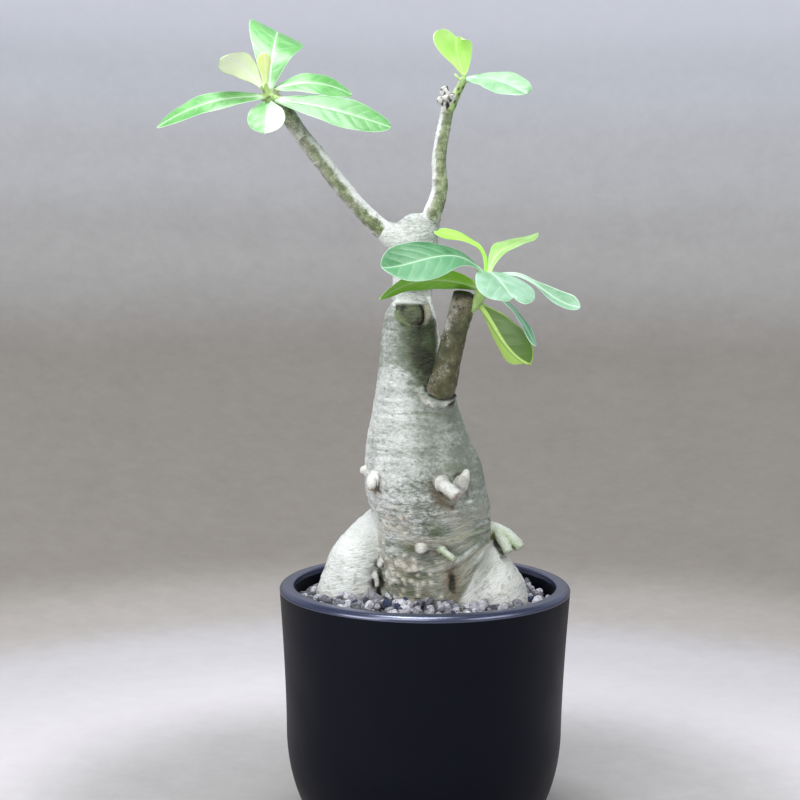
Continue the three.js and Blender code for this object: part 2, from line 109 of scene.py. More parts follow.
def make_lights():
    """The lamps, a faint bluish light from the room all round, and a plain view."""
    world = bpy.data.worlds.new("soft_room")
    bpy.context.scene.world = world
    world.use_nodes = True
    background = world.node_tree.nodes["Background"]
    background.inputs["Color"].default_value = ROOM_COLOUR
    background.inputs["Strength"].default_value = ROOM_STRENGTH
    for softbox in SOFTBOXES:
        add_softbox(*softbox)
    bpy.context.scene.view_settings.view_transform = "Standard"


# --- meshes
def make_mesh(name, points, face_sets, smooth=True):
    """A mesh object at the origin from points in millimetres and arrays of faces."""
    mesh = bpy.data.meshes.new(name)
    corners = np.concatenate([faces.ravel() for faces in face_sets])
    sizes = np.concatenate([np.full(len(faces), faces.shape[1]) for faces in face_sets])
    mesh.vertices.add(len(points))
    mesh.vertices.foreach_set("co", (points * MM).astype(np.float32).ravel())
    mesh.loops.add(len(corners))
    mesh.loops.foreach_set("vertex_index", corners.astype(np.int32))
    mesh.polygons.add(len(sizes))
    mesh.polygons.foreach_set("loop_start", (np.cumsum(sizes) - sizes).astype(np.int32))
    mesh.polygons.foreach_set("use_smooth", np.full(len(sizes), smooth))
    mesh.update(calc_edges=True)
    mesh.validate()
    piece = bpy.data.objects.new(name, mesh)
    bpy.context.collection.objects.link(piece)
    return piece


def store(piece, name, values):
    """Keeps one number per point on the mesh, for its material to read."""
    layer = piece.data.attributes.new(name, "FLOAT", "POINT")
    layer.data.foreach_set("value", values.astype(np.float32))


def finish_piece(piece, slot, material, *nodes):
    """Gives a piece its material and body, and hides the nodes that it stands for. slot is not used."""
    piece.data.materials.append(material)
    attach(piece, "root")
    if nodes:
        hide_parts(*nodes)


def ring_faces(rings, sides):
    """Quads between neighbouring rings of a grid of points whose rows are closed rings."""
    row, column = np.meshgrid(np.arange(rings - 1), np.arange(sides), indexing="ij")
    following = (column + 1) % sides
    return np.stack([row * sides + column, row * sides + following,
                     (row + 1) * sides + following, (row + 1) * sides + column], -1).reshape(-1, 4)


# --- noise
def lattice_value(ix, iy, iz, seed):
    """A fixed random number from 0 to 1 for each whole-number lattice point."""
    mixed = (ix.astype(np.int64) * 374761393 + iy.astype(np.int64) * 668265263
             + iz.astype(np.int64) * 2147483647 + seed * 1274126177) & 0xFFFFFFFF
    mixed = ((mixed ^ (mixed >> 13)) * 1103515245) & 0xFFFFFFFF
    mixed = ((mixed ^ (mixed >> 16)) * 2654435769) & 0xFFFFFFFF
    return (mixed ^ (mixed >> 15)).astype(np.float64) / 4294967295.0


def noise(points, size, seed):
    """Smooth noise from -1 to 1: lattice values blended with smooth steps. size is the lattice
    spacing, one number or one for each axis."""
    spot = points / np.asarray(size, float)
    cell = np.floor(spot).astype(np.int64)
    part = spot - cell
    part = part ** 3 * (part * (part * 6 - 15) + 10)
    total = np.zeros(len(points))
    for corner in range(8):
        dx, dy, dz = corner & 1, (corner >> 1) & 1, corner >> 2
        weight = (part[:, 0] if dx else 1 - part[:, 0]) * (part[:, 1] if dy else 1 - part[:, 1]) \
            * (part[:, 2] if dz else 1 - part[:, 2])
        total += weight * lattice_value(cell[:, 0] + dx, cell[:, 1] + dy, cell[:, 2] + dz, seed)
    return 2 * total - 1


def clouds(points, size, octaves, seed):
    """Noise plus finer noise at half the size and half the strength, and so on for as many
    octaves, brought back to about -1 to 1."""
    total = np.zeros(len(points))
    for octave in range(octaves):
        total += noise(points, np.asarray(size, float) / 2 ** octave, seed + octave) / 2 ** octave
    return total / (2 - 2.0 ** (1 - octaves))


def unit(vectors):
    """The vectors brought to length 1."""
    return vectors / np.linalg.norm(vectors, axis=-1, keepdims=True)


def rise(value, low, high):
    """0 below low, 1 above high, and a smooth rise between; a fall where low is above high."""
    share = np.clip((value - low) / (high - low), 0, 1)
    return share * share * (3 - 2 * share)


def bell(away, width):
    """1 where away is 0, falling smoothly to about a third at a distance of width."""
    return np.exp(-(away / width) ** 2)


def patches(points, size, seed, low, high, octaves=1):
    """Patches of noise: 0 where it is under low, 1 where it is over high."""
    return rise(clouds(points, size, octaves, seed), low, high)


def blob(points, centre, radius):
    """1 at centre, falling smoothly to 0 a few radii away; radius may differ by axis."""
    away = (points - np.asarray(centre, float)) / np.asarray(radius, float)
    return np.exp(-(away ** 2).sum(1))


def along_path(stations, spacing):
    """Rows x, y, z, radius along a smooth curve through the stations, about spacing apart: between
    two stations each value follows the Catmull-Rom cubic of its four nearest ones."""
    rows = np.array(stations, float)
    padded = np.vstack([2 * rows[0] - rows[1], rows, 2 * rows[-1] - rows[-2]])
    pieces = []
    for i in range(len(rows) - 1):
        a, b, c, d = padded[i:i + 4]
        count = max(2, int(np.linalg.norm(c[:3] - b[:3]) / spacing + 0.5))
        t = (np.arange(count) / count)[:, None]
        pieces.append(0.5 * (2 * b + (c - a) * t + (2 * a - 5 * b + 4 * c - d) * t ** 2
                             + (3 * b - 3 * c + d - a) * t ** 3))
    pieces.append(rows[-1:])
    return np.vstack(pieces)


# --- the woody body as a field
# The lattice's step and corners, and the distance given to places that no limb comes near.
CELL = np.array([0.85, 0.85, 0.78])
FIELD_LOW = np.array([-61.0, -46.0, 108.0])
FIELD_HIGH = np.array([60.0, 54.0, 327.0])
FAR = 30.0
# The skin is closed flat this far above the lattice's lowest level, inside the gravel.
FLOOR_MARGIN = 2.5


def lattice_part(low, high, origin, step, shape):
    """Slices of the part of a lattice that holds what lies between two corners."""
    first = np.clip(np.floor((low - origin) / step).astype(int), 0, shape)
    last = np.clip(np.ceil((high - origin) / step).astype(int) + 1, 0, shape)
    return tuple(slice(a, b) for a, b in zip(first, last))


class Field:
    """Distances to the skin of a body on a lattice, negative inside."""

    def __init__(self, low, high, step):
        self.low, self.step = low, step
        self.shape = np.ceil((high - low) / step).astype(int) + 1
        self.values = np.full(self.shape, FAR, np.float32)

    def window(self, low, high):
        """Slices and broadcast axes of the lattice part between two corners."""
        cut = lattice_part(low, high, self.low, self.step, self.shape)
        x, y, z = [(origin + step * np.arange(part.start, part.stop)).astype(np.float32)
                   for origin, step, part in zip(self.low, self.step, cut)]
        return cut, x[:, None, None], y[None, :, None], z[None, None, :]

    def around(self, rows, margin):
        """The window round a limb's stations, wider than its thickest part by margin."""
        reach = rows[:, 3:].max() + margin
        return self.window((rows[:, :3] - reach).min(0), (rows[:, :3] + reach).max(0))

    def column(self, stations, blend):
        """Joins an upright limb, its stations listed upwards, whose level sections are circles:
        distance to the axis point at the same height less the radius there."""
        rows = along_path(stations, 2.0)
        cut, x, y, z = self.around(rows, blend + 4.0)
        cx, cy, radius = [np.interp(z, rows[:, 2], rows[:, i]) for i in (0, 1, 3)]
        beyond = z - np.clip(z, rows[0, 2], rows[-1, 2])
        own = np.sqrt((x - cx) ** 2 + (y - cy) ** 2 + beyond ** 2) - radius
        self.join(cut, own.astype(np.float32), blend)

    def limb(self, stations, blend):
        """Joins a limb: distance to the nearest point of its axis less the radius there. Smooth
        union with blend b: min(p, q) less b * h * (1 - h), where h = 1/2 + (p - q) / 2b held
        between 0 and 1. The limb is gathered on its own first, so that its own pieces don't
        bulge where they meet."""
        rows = along_path(stations, 4.0)
        margin = blend + 4.0
        cut, x, y, z = self.around(rows, margin)
        shape = (x.size, y.size, z.size)
        own = np.full(shape, FAR, np.float32)
        low = np.array([x.flat[0], y.flat[0], z.flat[0]])
        for start, end in zip(rows[:-1], rows[1:]):
            near = max(start[3], end[3]) + margin
            i, j, k = lattice_part(np.minimum(start[:3], end[:3]) - near,
                                   np.maximum(start[:3], end[:3]) + near, low, self.step, shape)
            dx, dy, dz = x[i] - start[0], y[:, j] - start[1], z[:, :, k] - start[2]
            ex, ey, ez = (end - start)[:3]
            share = np.clip((dx * ex + dy * ey + dz * ez) / (ex * ex + ey * ey + ez * ez), 0, 1)
            away = np.sqrt((dx - share * ex) ** 2 + (dy - share * ey) ** 2
                           + (dz - share * ez) ** 2)
            part = own[i, j, k]
            np.minimum(part, away - (start[3] + share * (end[3] - start[3])), out=part)
        self.join(cut, own, blend)

    def join(self, cut, other, blend):
        """Smooth union of the lattice part in cut with other distances."""
        here = self.values[cut]
        share = np.clip(0.5 + (here - other) / (2 * blend), 0, 1)
        self.values[cut] = here + (other - here) * share - blend * share * (1 - share)

    def carve(self, cut, tool, blend):
        """Takes tool (negative inside) out of the part in cut, with edges rounded by blend."""
        here, other = self.values[cut], -tool
        share = np.clip(0.5 - (here - other) / (2 * blend), 0, 1)
        self.values[cut] = here + (other - here) * share + blend * share * (1 - share)

    def trim(self, place, facing, reach, blend, ball=1e3):
        """Takes away what lies before the plane through place, within reach of it along each
        axis and inside a ball about it, and rounds the edge by blend."""
        facing = unit(np.array(facing))
        place, reach = np.array(place, float), np.array(reach, float)
        cut, x, y, z = self.window(place - reach, place + reach)
        before = (x - place[0]) * facing[0] + (y - place[1]) * facing[1] + (z - place[2]) * facing[2]
        away = np.sqrt((x - place[0]) ** 2 + (y - place[1]) ** 2 + (z - place[2]) ** 2)
        self.carve(cut, np.maximum(-before, away - ball).astype(np.float32), blend)

    def carve_groove(self, stations, blend):
        """Carves a groove or pit: a limb-shaped tool."""
        rows = along_path(stations, 1.5)
        cut, x, y, z = self.around(rows, blend + 3)
        tool = np.full((x.size, y.size, z.size), FAR, np.float32)
        for cx, cy, cz, radius in rows:
            np.minimum(tool, np.sqrt((x - cx) ** 2 + (y - cy) ** 2 + (z - cz) ** 2) - radius,
                       out=tool)
        self.carve(cut, tool, blend)

    def at(self, points):
        """Values and gradients at points, straight between the lattice values."""
        spot = np.clip((points - self.low) / self.step, 0, np.array(self.shape) - 1.001)
        cell = spot.astype(int)
        part = spot - cell
        value = np.zeros(len(points))
        slope = np.zeros((len(points), 3))
        for corner in range(8):
            bits = np.array([corner & 1, (corner >> 1) & 1, corner >> 2])
            here = self.values[tuple((cell + bits).T)]
            shares = np.where(bits, part, 1 - part)
            value += here * shares.prod(1)
            for axis in range(3):
                others = [i for i in range(3) if i != axis]
                slope[:, axis] += here * shares[:, others].prod(1) * (2 * bits[axis] - 1)
        return value, slope / self.step

    def skin(self):
        """Points and quads of the closed skin: one point in every cell that the skin crosses, at
        the mean of the crossings on the cell's edges, and one quad round every lattice edge that
        the skin crosses, turned to face out."""
        values, shape = self.values, self.shape
        spots, owners, turned = [], [], []
        for axis in range(3):
            near = np.take(values, np.arange(shape[axis] - 1), axis)
            far = np.take(values, np.arange(1, shape[axis]), axis)
            edge = np.argwhere((near < 0) != (far < 0))
            first, second = near[tuple(edge.T)], far[tuple(edge.T)]
            crossing = edge.astype(float)
            crossing[:, axis] += first / (first - second)
            u, v = (axis + 1) % 3, (axis + 2) % 3
            cells = np.repeat(edge[:, None], 4, 1)
            cells[:, [1, 2], u] -= 1
            cells[:, [2, 3], v] -= 1
            owner = np.ravel_multi_index(tuple(cells.reshape(-1, 3).T), shape).reshape(-1, 4)
            spots.append(np.repeat(crossing, 4, 0))
            owners.append(owner.ravel())
            turned.append(first < 0)
        spots, owners = np.vstack(spots), np.concatenate(owners)
        turned = np.concatenate(turned)
        index = np.unique(owners, return_inverse=True)[1]
        count = np.bincount(index)
        points = np.stack([np.bincount(index, spots[:, i]) / count for i in range(3)], 1)
        faces = index.reshape(-1, 4)
        faces = np.where(turned[:, None], faces, faces[:, ::-1])
        return self.low + points * self.step, faces


# --- stems, trunk, roots and stubs
# Stations x, y, z, radius of the stems and the woody limbs.
LEFT_STEM = [[-12, 2, 306, 5.4], [-21, 2, 310, 4.9], [-32.7, 0, 320.5, 4.4], [-43, -1, 332, 4.3],
             [-52.6, -2, 344.5, 4.3], [-65.3, -4, 360.5, 4], [-72, -6, 370.7, 4], [-79, -8, 378, 3.4]]
RIGHT_STEM = [[-1, 3, 310, 5.4], [2, 3, 318.5, 4.8], [5.6, 4.8, 330, 4.1], [5.9, 5.6, 336, 3.9],
              [5.4, 6.5, 345.4, 3.6], [6.2, 7.4, 354.3, 3.4], [8.7, 9, 368, 3.3], [9.4, 9.5, 375, 3.3]]
RIGHT_TWIG = [[10, 9.3, 372.5, 3.0], [11.7, 9.3, 375.2, 2.6], [14, 9, 379.8, 2.2], [16, 9, 383.8, 2.1],
              [17.6, 9, 387.3, 1.9]]
RIGHT_KNOBS = [[[9.5, 8.8, 374.5, 2.5], [9, 8.6, 379, 2.4], [8.2, 8.5, 382.6, 2.1]],
               [[9, 8.5, 373.5, 2.1], [5.6, 7.5, 377.2, 1.9]],
               [[10.5, 8.5, 374, 2.2], [11.9, 7, 379, 1.8]],
               [[9, 8, 373, 1.8], [8.7, 5.6, 378, 1.5]],
               [[8.6, 9, 377, 1.8], [6.6, 8.4, 380.6, 1.3]]]
# The growing tip of the left stem, and the feet of its leaf stalks.
LEFT_CROWN = [[[-78.6, -8.8, 375.0, 3.7], [-79.6, -10.2, 376.2, 3.4]],
              [[-79.4, -9.6, 377, 2.8], [-80.4, -10.8, 380, 1.7], [-80.6, -11.6, 382.5, 0.8]],
              [[-79.6, -8.6, 377, 2.4], [-81.0, -8.8, 379.6, 1.7], [-83, -9.6, 381.4, 0.8]],
              [[-78.6, -7.6, 377.4, 2.4], [-76.8, -6.0, 379.4, 1.7], [-74.5, -4.6, 380.6, 0.8]],
              [[-78, -9.6, 376.0, 2.4], [-75.4, -10.6, 375.4, 1.7], [-72.5, -10.8, 374.8, 0.8]],
              [[-79.6, -9.0, 376.2, 2.2], [-82, -8.8, 376.6, 1.6], [-85, -9.2, 377.0, 0.8]],
              [[-79.2, -9.8, 375.0, 2.4], [-79.6, -12.2, 374.8, 1.7], [-79.5, -15, 374.4, 0.8]]]
FRONT_STEM = [[4, -13, 222, 7.4], [8, -21.5, 235, 7.1], [10, -23, 243, 6.4], [12, -24.3, 253, 5.9],
              [15, -26.7, 264.5, 5.8], [17, -28, 274, 5.9], [17.9, -28.8, 280.4, 5.7]]
FRONT_SHOOT = [[19, -28, 271, 2.6], [24.3, -30, 277, 2.9], [27.5, -31, 284, 2.9], [29, -32, 289.5, 2.2]]
TRUNK = [[-4.5, 4, 98, 12], [-4.5, 3, 108, 15.5], [-4.6, 2, 121, 18.4], [-3.4, 1.5, 134, 19.8],
         [-0.5, 1.2, 146, 23.2], [1.6, 1, 160, 27], [1.4, 0, 172, 30.3], [-0.5, 0, 183, 30.8],
         [-1.7, 0, 194, 29.3], [-3.8, 0, 204, 26.4], [-4.9, 0, 214, 23.6], [-6, 0, 225, 21],
         [-6.6, 0, 235, 19.2], [-7.6, 0, 245, 17], [-8.5, 0, 256, 14.9], [-8.3, 0, 267.5, 13.3],
         [-8, 0.5, 271.5, 11.8], [-7.8, 1, 275, 10.2]]
FLANK = [[13.5, -1, 141, 12], [13.8, -2, 148, 16.2], [13.4, -2.5, 155, 18.9],
         [12, -2, 164, 20.4], [9, -1, 172, 22.3], [5, 0, 182, 22]]
COLUMN_CORNER = [[2, -7, 152, 12], [5.2, -12, 143, 8.2], [6.2, -13.4, 134, 7.3], [6.2, -14, 116, 7]]
HEAD = [[-8, 3, 258, 10], [-7.7, 3.6, 270, 10.4], [-7.4, 3.8, 280, 10.3], [-7, 3, 292, 10.6],
        [-6.3, 2, 303, 11.6], [-6, 2, 310.5, 9.6]]
LEFT_ROOT = [[-19.5, 9.5, 157.5, 12], [-25.8, 8.5, 150.5, 14], [-30.3, 7.5, 145, 15],
             [-34.4, 6.5, 138.6, 15.8], [-37.9, 5.5, 128.7, 16], [-40.5, 4.5, 119, 15.9],
             [-41, 3.5, 100, 12.5]]
LEFT_ROOT_BACK = [[-18, 17, 154, 12], [-27, 21, 142, 14], [-31, 23, 128, 14], [-31, 24, 112, 13],
                  [-31, 24, 98, 11]]
RIGHT_ROOT = [[22, 3, 153, 10], [24.9, 1, 147.6, 12], [28.4, -0.5, 140.3, 14.2],
              [32, -2, 132.2, 16], [35.8, -3, 121, 17.5], [36.8, -3, 98, 13]]
RIGHT_ROOT_CORNER = [[19.5, -9, 151, 11], [21, -12.3, 142, 9], [22, -14, 133, 8.6],
                     [23, -15, 116, 8.5]]
# The flesh between the flank and the right root, and behind the cleft.
RIGHT_FILL = [[16, -5, 166, 15], [19, -8, 155, 12.5], [20.5, -10.5, 146, 10.5]]
CLEFT_FILL = [[12, -8, 154, 11], [13.2, -11, 145, 8.5], [13.4, -12, 134, 6], [13.4, -12, 118, 5.5]]
BACK_ROOT = [[0, 8, 164, 20], [-4, 19, 150, 16], [-7, 29, 134, 14.5], [-9, 34, 118, 12.5],
             [-9, 35, 98, 9]]
BACK_RIGHT_ROOT = [[10, 6, 160, 16], [19, 17, 145, 14], [25, 25, 129, 12], [27, 29, 114, 9.5],
                   [27, 29, 98, 7]]
# The old cut in front of the head: a point on its face and the way it faces.
CUT_PLACE = [-7.5, -10.2, 267.6]
CUT_FACING = [0.1, -0.8, 0.59]
# The crack in its face, x and z.
CUT_CRACK = [[-4.2, 274.2], [-2.5, 272.2], [-1.9, 268.2], [-3.0, 265.2], [-4.8, 264.3]]
# The gap under its lip, painted dark as the lip's shadow, the callus round its foot, and the edge of
# bark right of the stripe below it, whitened as a painted highlight, x and z.
LIP_GAP = [[-17.5, 272.2], [-13, 272.8], [-9, 272.6], [-4.5, 273.9]]
CUT_CALLUS = [[-15, 269], [-11, 264.9], [-5.5, 263.1], [1, 264.4]]
STRIPE_EDGE_HIGHLIGHT = [[1.2, 277.5], [3.9, 269], [5.4, 262.5], [5.9, 255.6], [4.6, 250.5]]
# Large pits, x, y, z and size, and leaf scars on the bark.
LARGE_PITS = [[-18.4, -14.5, 234.2, 1.0], [-15.5, -12.5, 244.7, 1.2], [-21.2, -13, 232.1, 0.9],
              [23.1, -17.5, 196.4, 0.9], [8.8, -33.5, 189.2, 0.9]]
LEAF_SCARS = [[21.2, -20.5, 176.7], [13.7, -25.5, 172.5], [-16.5, -12, 243.2]]
# Lines on the bark: the roll under the front stem's crack, the painted shadow under the big stub
# and the painted shade in the gap beside the pale one.
ROLL = [[-4.4, -15, 235, 1], [-2.4, -21, 230, 1], [2, -26, 226, 1], [8, -28, 224.3, 1],
        [15, -22.5, 228, 1]]
UNDER_BIG_SHADOW = [[2.2, -29, 186, 1], [4.5, -30, 181, 1], [9, -30, 176.6, 1], [13, -28, 174.6, 1]]
BESIDE_PALE = [[-22.4, -19, 188, 1], [-23.2, -20, 181, 1]]
# The cleft between the column and the right root.
CLEFT = [[12.9, -21.4, 141.8, 0.3], [13.2, -20, 139.2, 0.6], [13.7, -19.2, 136.2, 0.85],
         [13.5, -19.4, 133, 0.8], [13.9, -20.4, 130, 0.5], [14.1, -21.4, 127.5, 0.3]]
# Collars that the stems grow out of, each with its blend, and the roll of bark under the front
# stem's crack.
COLLARS = [([[-9, 2, 302, 8], [-14, 2, 306, 7.2], [-19.5, 2, 309.3, 5.9]], 3.0),
           ([[-4, 2, 303, 7.5], [-0.5, 2.8, 311, 6.4], [2, 3.3, 317, 5.1]], 3.0),
           ([[-5.5, 1, 308, 7], [-6.5, 1.5, 311.5, 6.2]], 2.0),
           ([[0, -5, 210, 10], [2.5, -10, 217, 9.8], [5.2, -15.4, 225.6, 9.2]], 4.0),
           ([[-2.6, -12, 236, 2.4], [-1.6, -18.5, 231.4, 2.7], [2.2, -23.6, 227.6, 2.9],
             [7.8, -25.6, 225.9, 2.3], [12.9, -21, 229, 2.2]], 3.0)]
# The crack round the front stem's foot: the line that it goes round, and its middle, radius,
# first and last turn in degrees and count of stations.
FOOT_AXIS = [6.3, -17.3, 227.3], [8, -21.5, 235]
FOOT_CRACK_MIDDLE, FOOT_CRACK_RADIUS = [6.4, -18.1, 229.8], 8.1
FOOT_CRACK_TURNS = 150, 330, 17
# Old cut shoots and buds: stations from inside the bark outwards, the blend at the foot, and for
# a sawn one the way its end faces.
STUBS = {
    "big": ([[6.5, -23, 187, 3.6], [8.6, -30.5, 186.2, 3.3], [15.4, -38.4, 182, 3.3]], 0.8,
            [0.62, -0.62, -0.48]),
    "pointed": ([[16.5, -21, 185, 3.8], [18.2, -26.3, 186.8, 3.3], [19.6, -29, 190.6, 2.3],
                 [20.2, -30, 193, 1.3]], 0.8, None),
    "pale": ([[-21, -10, 188.5, 4.4], [-26.3, -18, 187, 3.1], [-27.2, -19.4, 183.4, 2.5]], 0.8, None),
    "bump": ([[-27, -6, 189.5, 3.2], [-31.6, -6.5, 189.6, 2.1]], 1.2, None),
    "button": ([[-1.8, -20, 153.4, 2.7], [-2.1, -24.9, 152.7, 2.6]], 0.9, None),
    "peg": ([[7.5, -20, 152.4, 1.9], [10.6, -27, 150.9, 1.7], [14.4, -30.8, 148.8, 1.75]], 0.6,
            [0.7, -0.65, -0.3]),
    "column_bump": ([[-20.5, -3, 142, 3.2], [-22.8, -8.8, 141.3, 1.7]], 0.8, None),
    "lobe_lump": ([[-26.5, -3, 136, 2.2], [-25, -7.6, 135, 1.4], [-24.4, -8, 130.4, 1.3]], 0.8, None),
    "sprout": ([[26, 1, 157, 4.8], [33, 0, 158.2, 4.5], [38.6, -2.6, 157.0, 4.1],
                [43.2, -4.2, 155.2, 3.4], [46.6, -5.2, 152.2, 3.1], [48.4, -5.6, 150.2, 2.9]], 1.0,
               [0.55, -0.25, -0.8]),
    "sprout_side": ([[38, -4.5, 156.4, 3.2], [40.6, -7.2, 152.4, 2.7], [42.4, -8.8, 148.4, 2.5]], 0.5,
                    [0.35, -0.25, -0.9]),
}


def woody_body():
    """The trunk with its head, roots and stubs as one field."""
    body = Field(FIELD_LOW, FIELD_HIGH, CELL)
    everywhere = (slice(None),) * 3
    body.column(TRUNK, 0.1)
    body.column(FLANK, 5.0)
    body.limb(COLUMN_CORNER, 4.0)
    body.limb(HEAD, 1.6)
    right = Field(FIELD_LOW, FIELD_HIGH, CELL)
    right.limb(RIGHT_ROOT, 0.1)
    right.limb(RIGHT_ROOT_CORNER, 5.0)
    body.join(everywhere, right.values, 4.5)
    body.limb(RIGHT_FILL, 5.0)
    body.limb(CLEFT_FILL, 4.0)
    body.limb(BACK_ROOT, 9.0)
    body.limb(BACK_RIGHT_ROOT, 8.0)
    left = Field(FIELD_LOW, FIELD_HIGH, CELL)
    left.limb(LEFT_ROOT, 0.1)
    left.limb(LEFT_ROOT_BACK, 9.0)
    body.join(everywhere, left.values, 1.8)
    body.trim(CUT_PLACE, CUT_FACING, [22, 22, 15], 0.9)
    for stations, blend in COLLARS:
        body.limb(stations, blend)
    across, over = level_frame(*FOOT_AXIS)
    turn = np.radians(np.linspace(*FOOT_CRACK_TURNS))[:, None]
    ring = np.array(FOOT_CRACK_MIDDLE) \
        + FOOT_CRACK_RADIUS * (np.cos(turn) * across + np.sin(turn) * over)
    body.carve_groove(np.column_stack([ring, np.full(len(ring), 1.0)]), 0.5)
    body.carve_groove(CLEFT, 0.9)
    for stations, blend, facing in STUBS.values():
        body.limb(stations, blend)
        if facing:
            end = np.array(stations[-1][:3])
            body.trim(end + 0.5 * np.array(facing), facing, [6, 6, 6], 0.4, 5.0)
    height = body.window(FIELD_LOW, FIELD_HIGH)[3]
    body.values = np.maximum(body.values, FIELD_LOW[2] + FLOOR_MARGIN - height)
    return body


def level_frame(start, end):
    """Unit vectors across the line from start to end: a level one, and one over the line."""
    along = unit(np.array(end, float) - start)
    across = unit(np.cross(along, UP))
    return across, np.cross(across, along)


def settled_skin(body):
    """The skin's points, each moved twice down the slope onto the surface where the distance is
    0, its quads, and its outward normals."""
    points, faces = body.skin()
    for _ in range(2):
        value, slope = body.at(points)
        points = points - slope * (value / np.maximum((slope ** 2).sum(1), 0.2))[:, None]
    return points, faces, unit(body.at(points)[1])


# --- finishes
class Finish:
    """A material being wired. Its makers take numbers, colours or other outputs, and return the
    output of the node that they add."""

    def __init__(self, name):
        self.material = bpy.data.materials.new(name)
        self.material.use_nodes = True
        self.tree = self.material.node_tree
        self.shader = self.tree.nodes["Principled BSDF"]
        self.output = self.tree.nodes["Material Output"]
        self.places = self.make("ShaderNodeTexCoord").outputs["Object"]

    def make(self, kind, **settings):
        """A new node with its settings."""
        node = self.tree.nodes.new(kind)
        for name, value in settings.items():
            setattr(node, name, value)
        return node

    def feed(self, socket, value):
        """Links an output to a socket, or sets the socket to a number or a colour."""
        if isinstance(value, bpy.types.NodeSocket):
            self.tree.links.new(value, socket)
        elif isinstance(value, tuple) and len(value) == 3 and socket.type == "RGBA":
            socket.default_value = (*value, 1.0)
        else:
            socket.default_value = value

    def calc(self, operation, *values):
        """One sum, product or other operation on numbers."""
        node = self.make("ShaderNodeMath", operation=operation)
        for socket, value in zip(node.inputs, values):
            self.feed(socket, value)
        return node.outputs[0]

    def times(self, first, second):
        """The product of two numbers."""
        return self.calc("MULTIPLY", first, second)

    def plus(self, first, second):
        """The sum of two numbers."""
        return self.calc("ADD", first, second)

    def rise(self, value, low, high, to_low=0.0, to_high=1.0):
        """A smooth step of value from low to high, running from to_low to to_high."""
        node = self.make("ShaderNodeMapRange", interpolation_type="SMOOTHSTEP")
        for socket, number in zip(node.inputs, (value, low, high, to_low, to_high)):
            self.feed(socket, number)
        return node.outputs[0]

    def mix(self, share, first, second, way="MIX"):
        """The first colour, with a share of the second laid over it."""
        node = self.make("ShaderNodeMix", data_type="RGBA", blend_type=way)
        self.feed(node.inputs[0], share)
        self.feed(node.inputs[6], first)
        self.feed(node.inputs[7], second)
        return node.outputs[2]

    def kept(self, name):
        """A number stored on the mesh."""
        return self.make("ShaderNodeAttribute", attribute_name=name).outputs["Fac"]

    def stretched(self, x, y, z):
        """The places with each axis scaled, so that a pattern is finer along a large one."""
        node = self.make("ShaderNodeMapping")
        self.feed(node.inputs["Vector"], self.places)
        node.inputs["Scale"].default_value = (x, y, z)
        return node.outputs[0]

    def noise(self, size, detail, rough=0.55, where=None, warp=0.0):
        """Noise from 0 to 1 whose blotches are about size millimetres wide."""
        node = self.make("ShaderNodeTexNoise")
        self.feed(node.inputs["Vector"], self.places if where is None else where)
        node.inputs["Scale"].default_value = METRE / size
        node.inputs["Detail"].default_value = detail
        node.inputs["Roughness"].default_value = rough
        node.inputs["Distortion"].default_value = warp
        return node.outputs["Fac"]

    def cells(self, size):
        """Distance to the nearest of scattered seeds about size millimetres apart."""
        node = self.make("ShaderNodeTexVoronoi", feature="F1")
        self.feed(node.inputs["Vector"], self.places)
        node.inputs["Scale"].default_value = METRE / size
        return node.outputs["Distance"]

    def relief(self, height, depth, strength):
        """A bump whose height from 0 to 1 stands for depth millimetres."""
        node = self.make("ShaderNodeBump")
        self.feed(node.inputs["Height"], height)
        node.inputs["Distance"].default_value = depth * MM
        node.inputs["Strength"].default_value = strength
        return node.outputs[0]

    def finish(self, colour, rough, bump, specular):
        """Gives the shader its colour, roughness, bump and specular level."""
        self.feed(self.shader.inputs["Base Color"], colour)
        self.feed(self.shader.inputs["Roughness"], rough)
        self.shader.inputs["Specular IOR Level"].default_value = specular
        self.feed(self.shader.inputs["Normal"], bump)
        return self.material


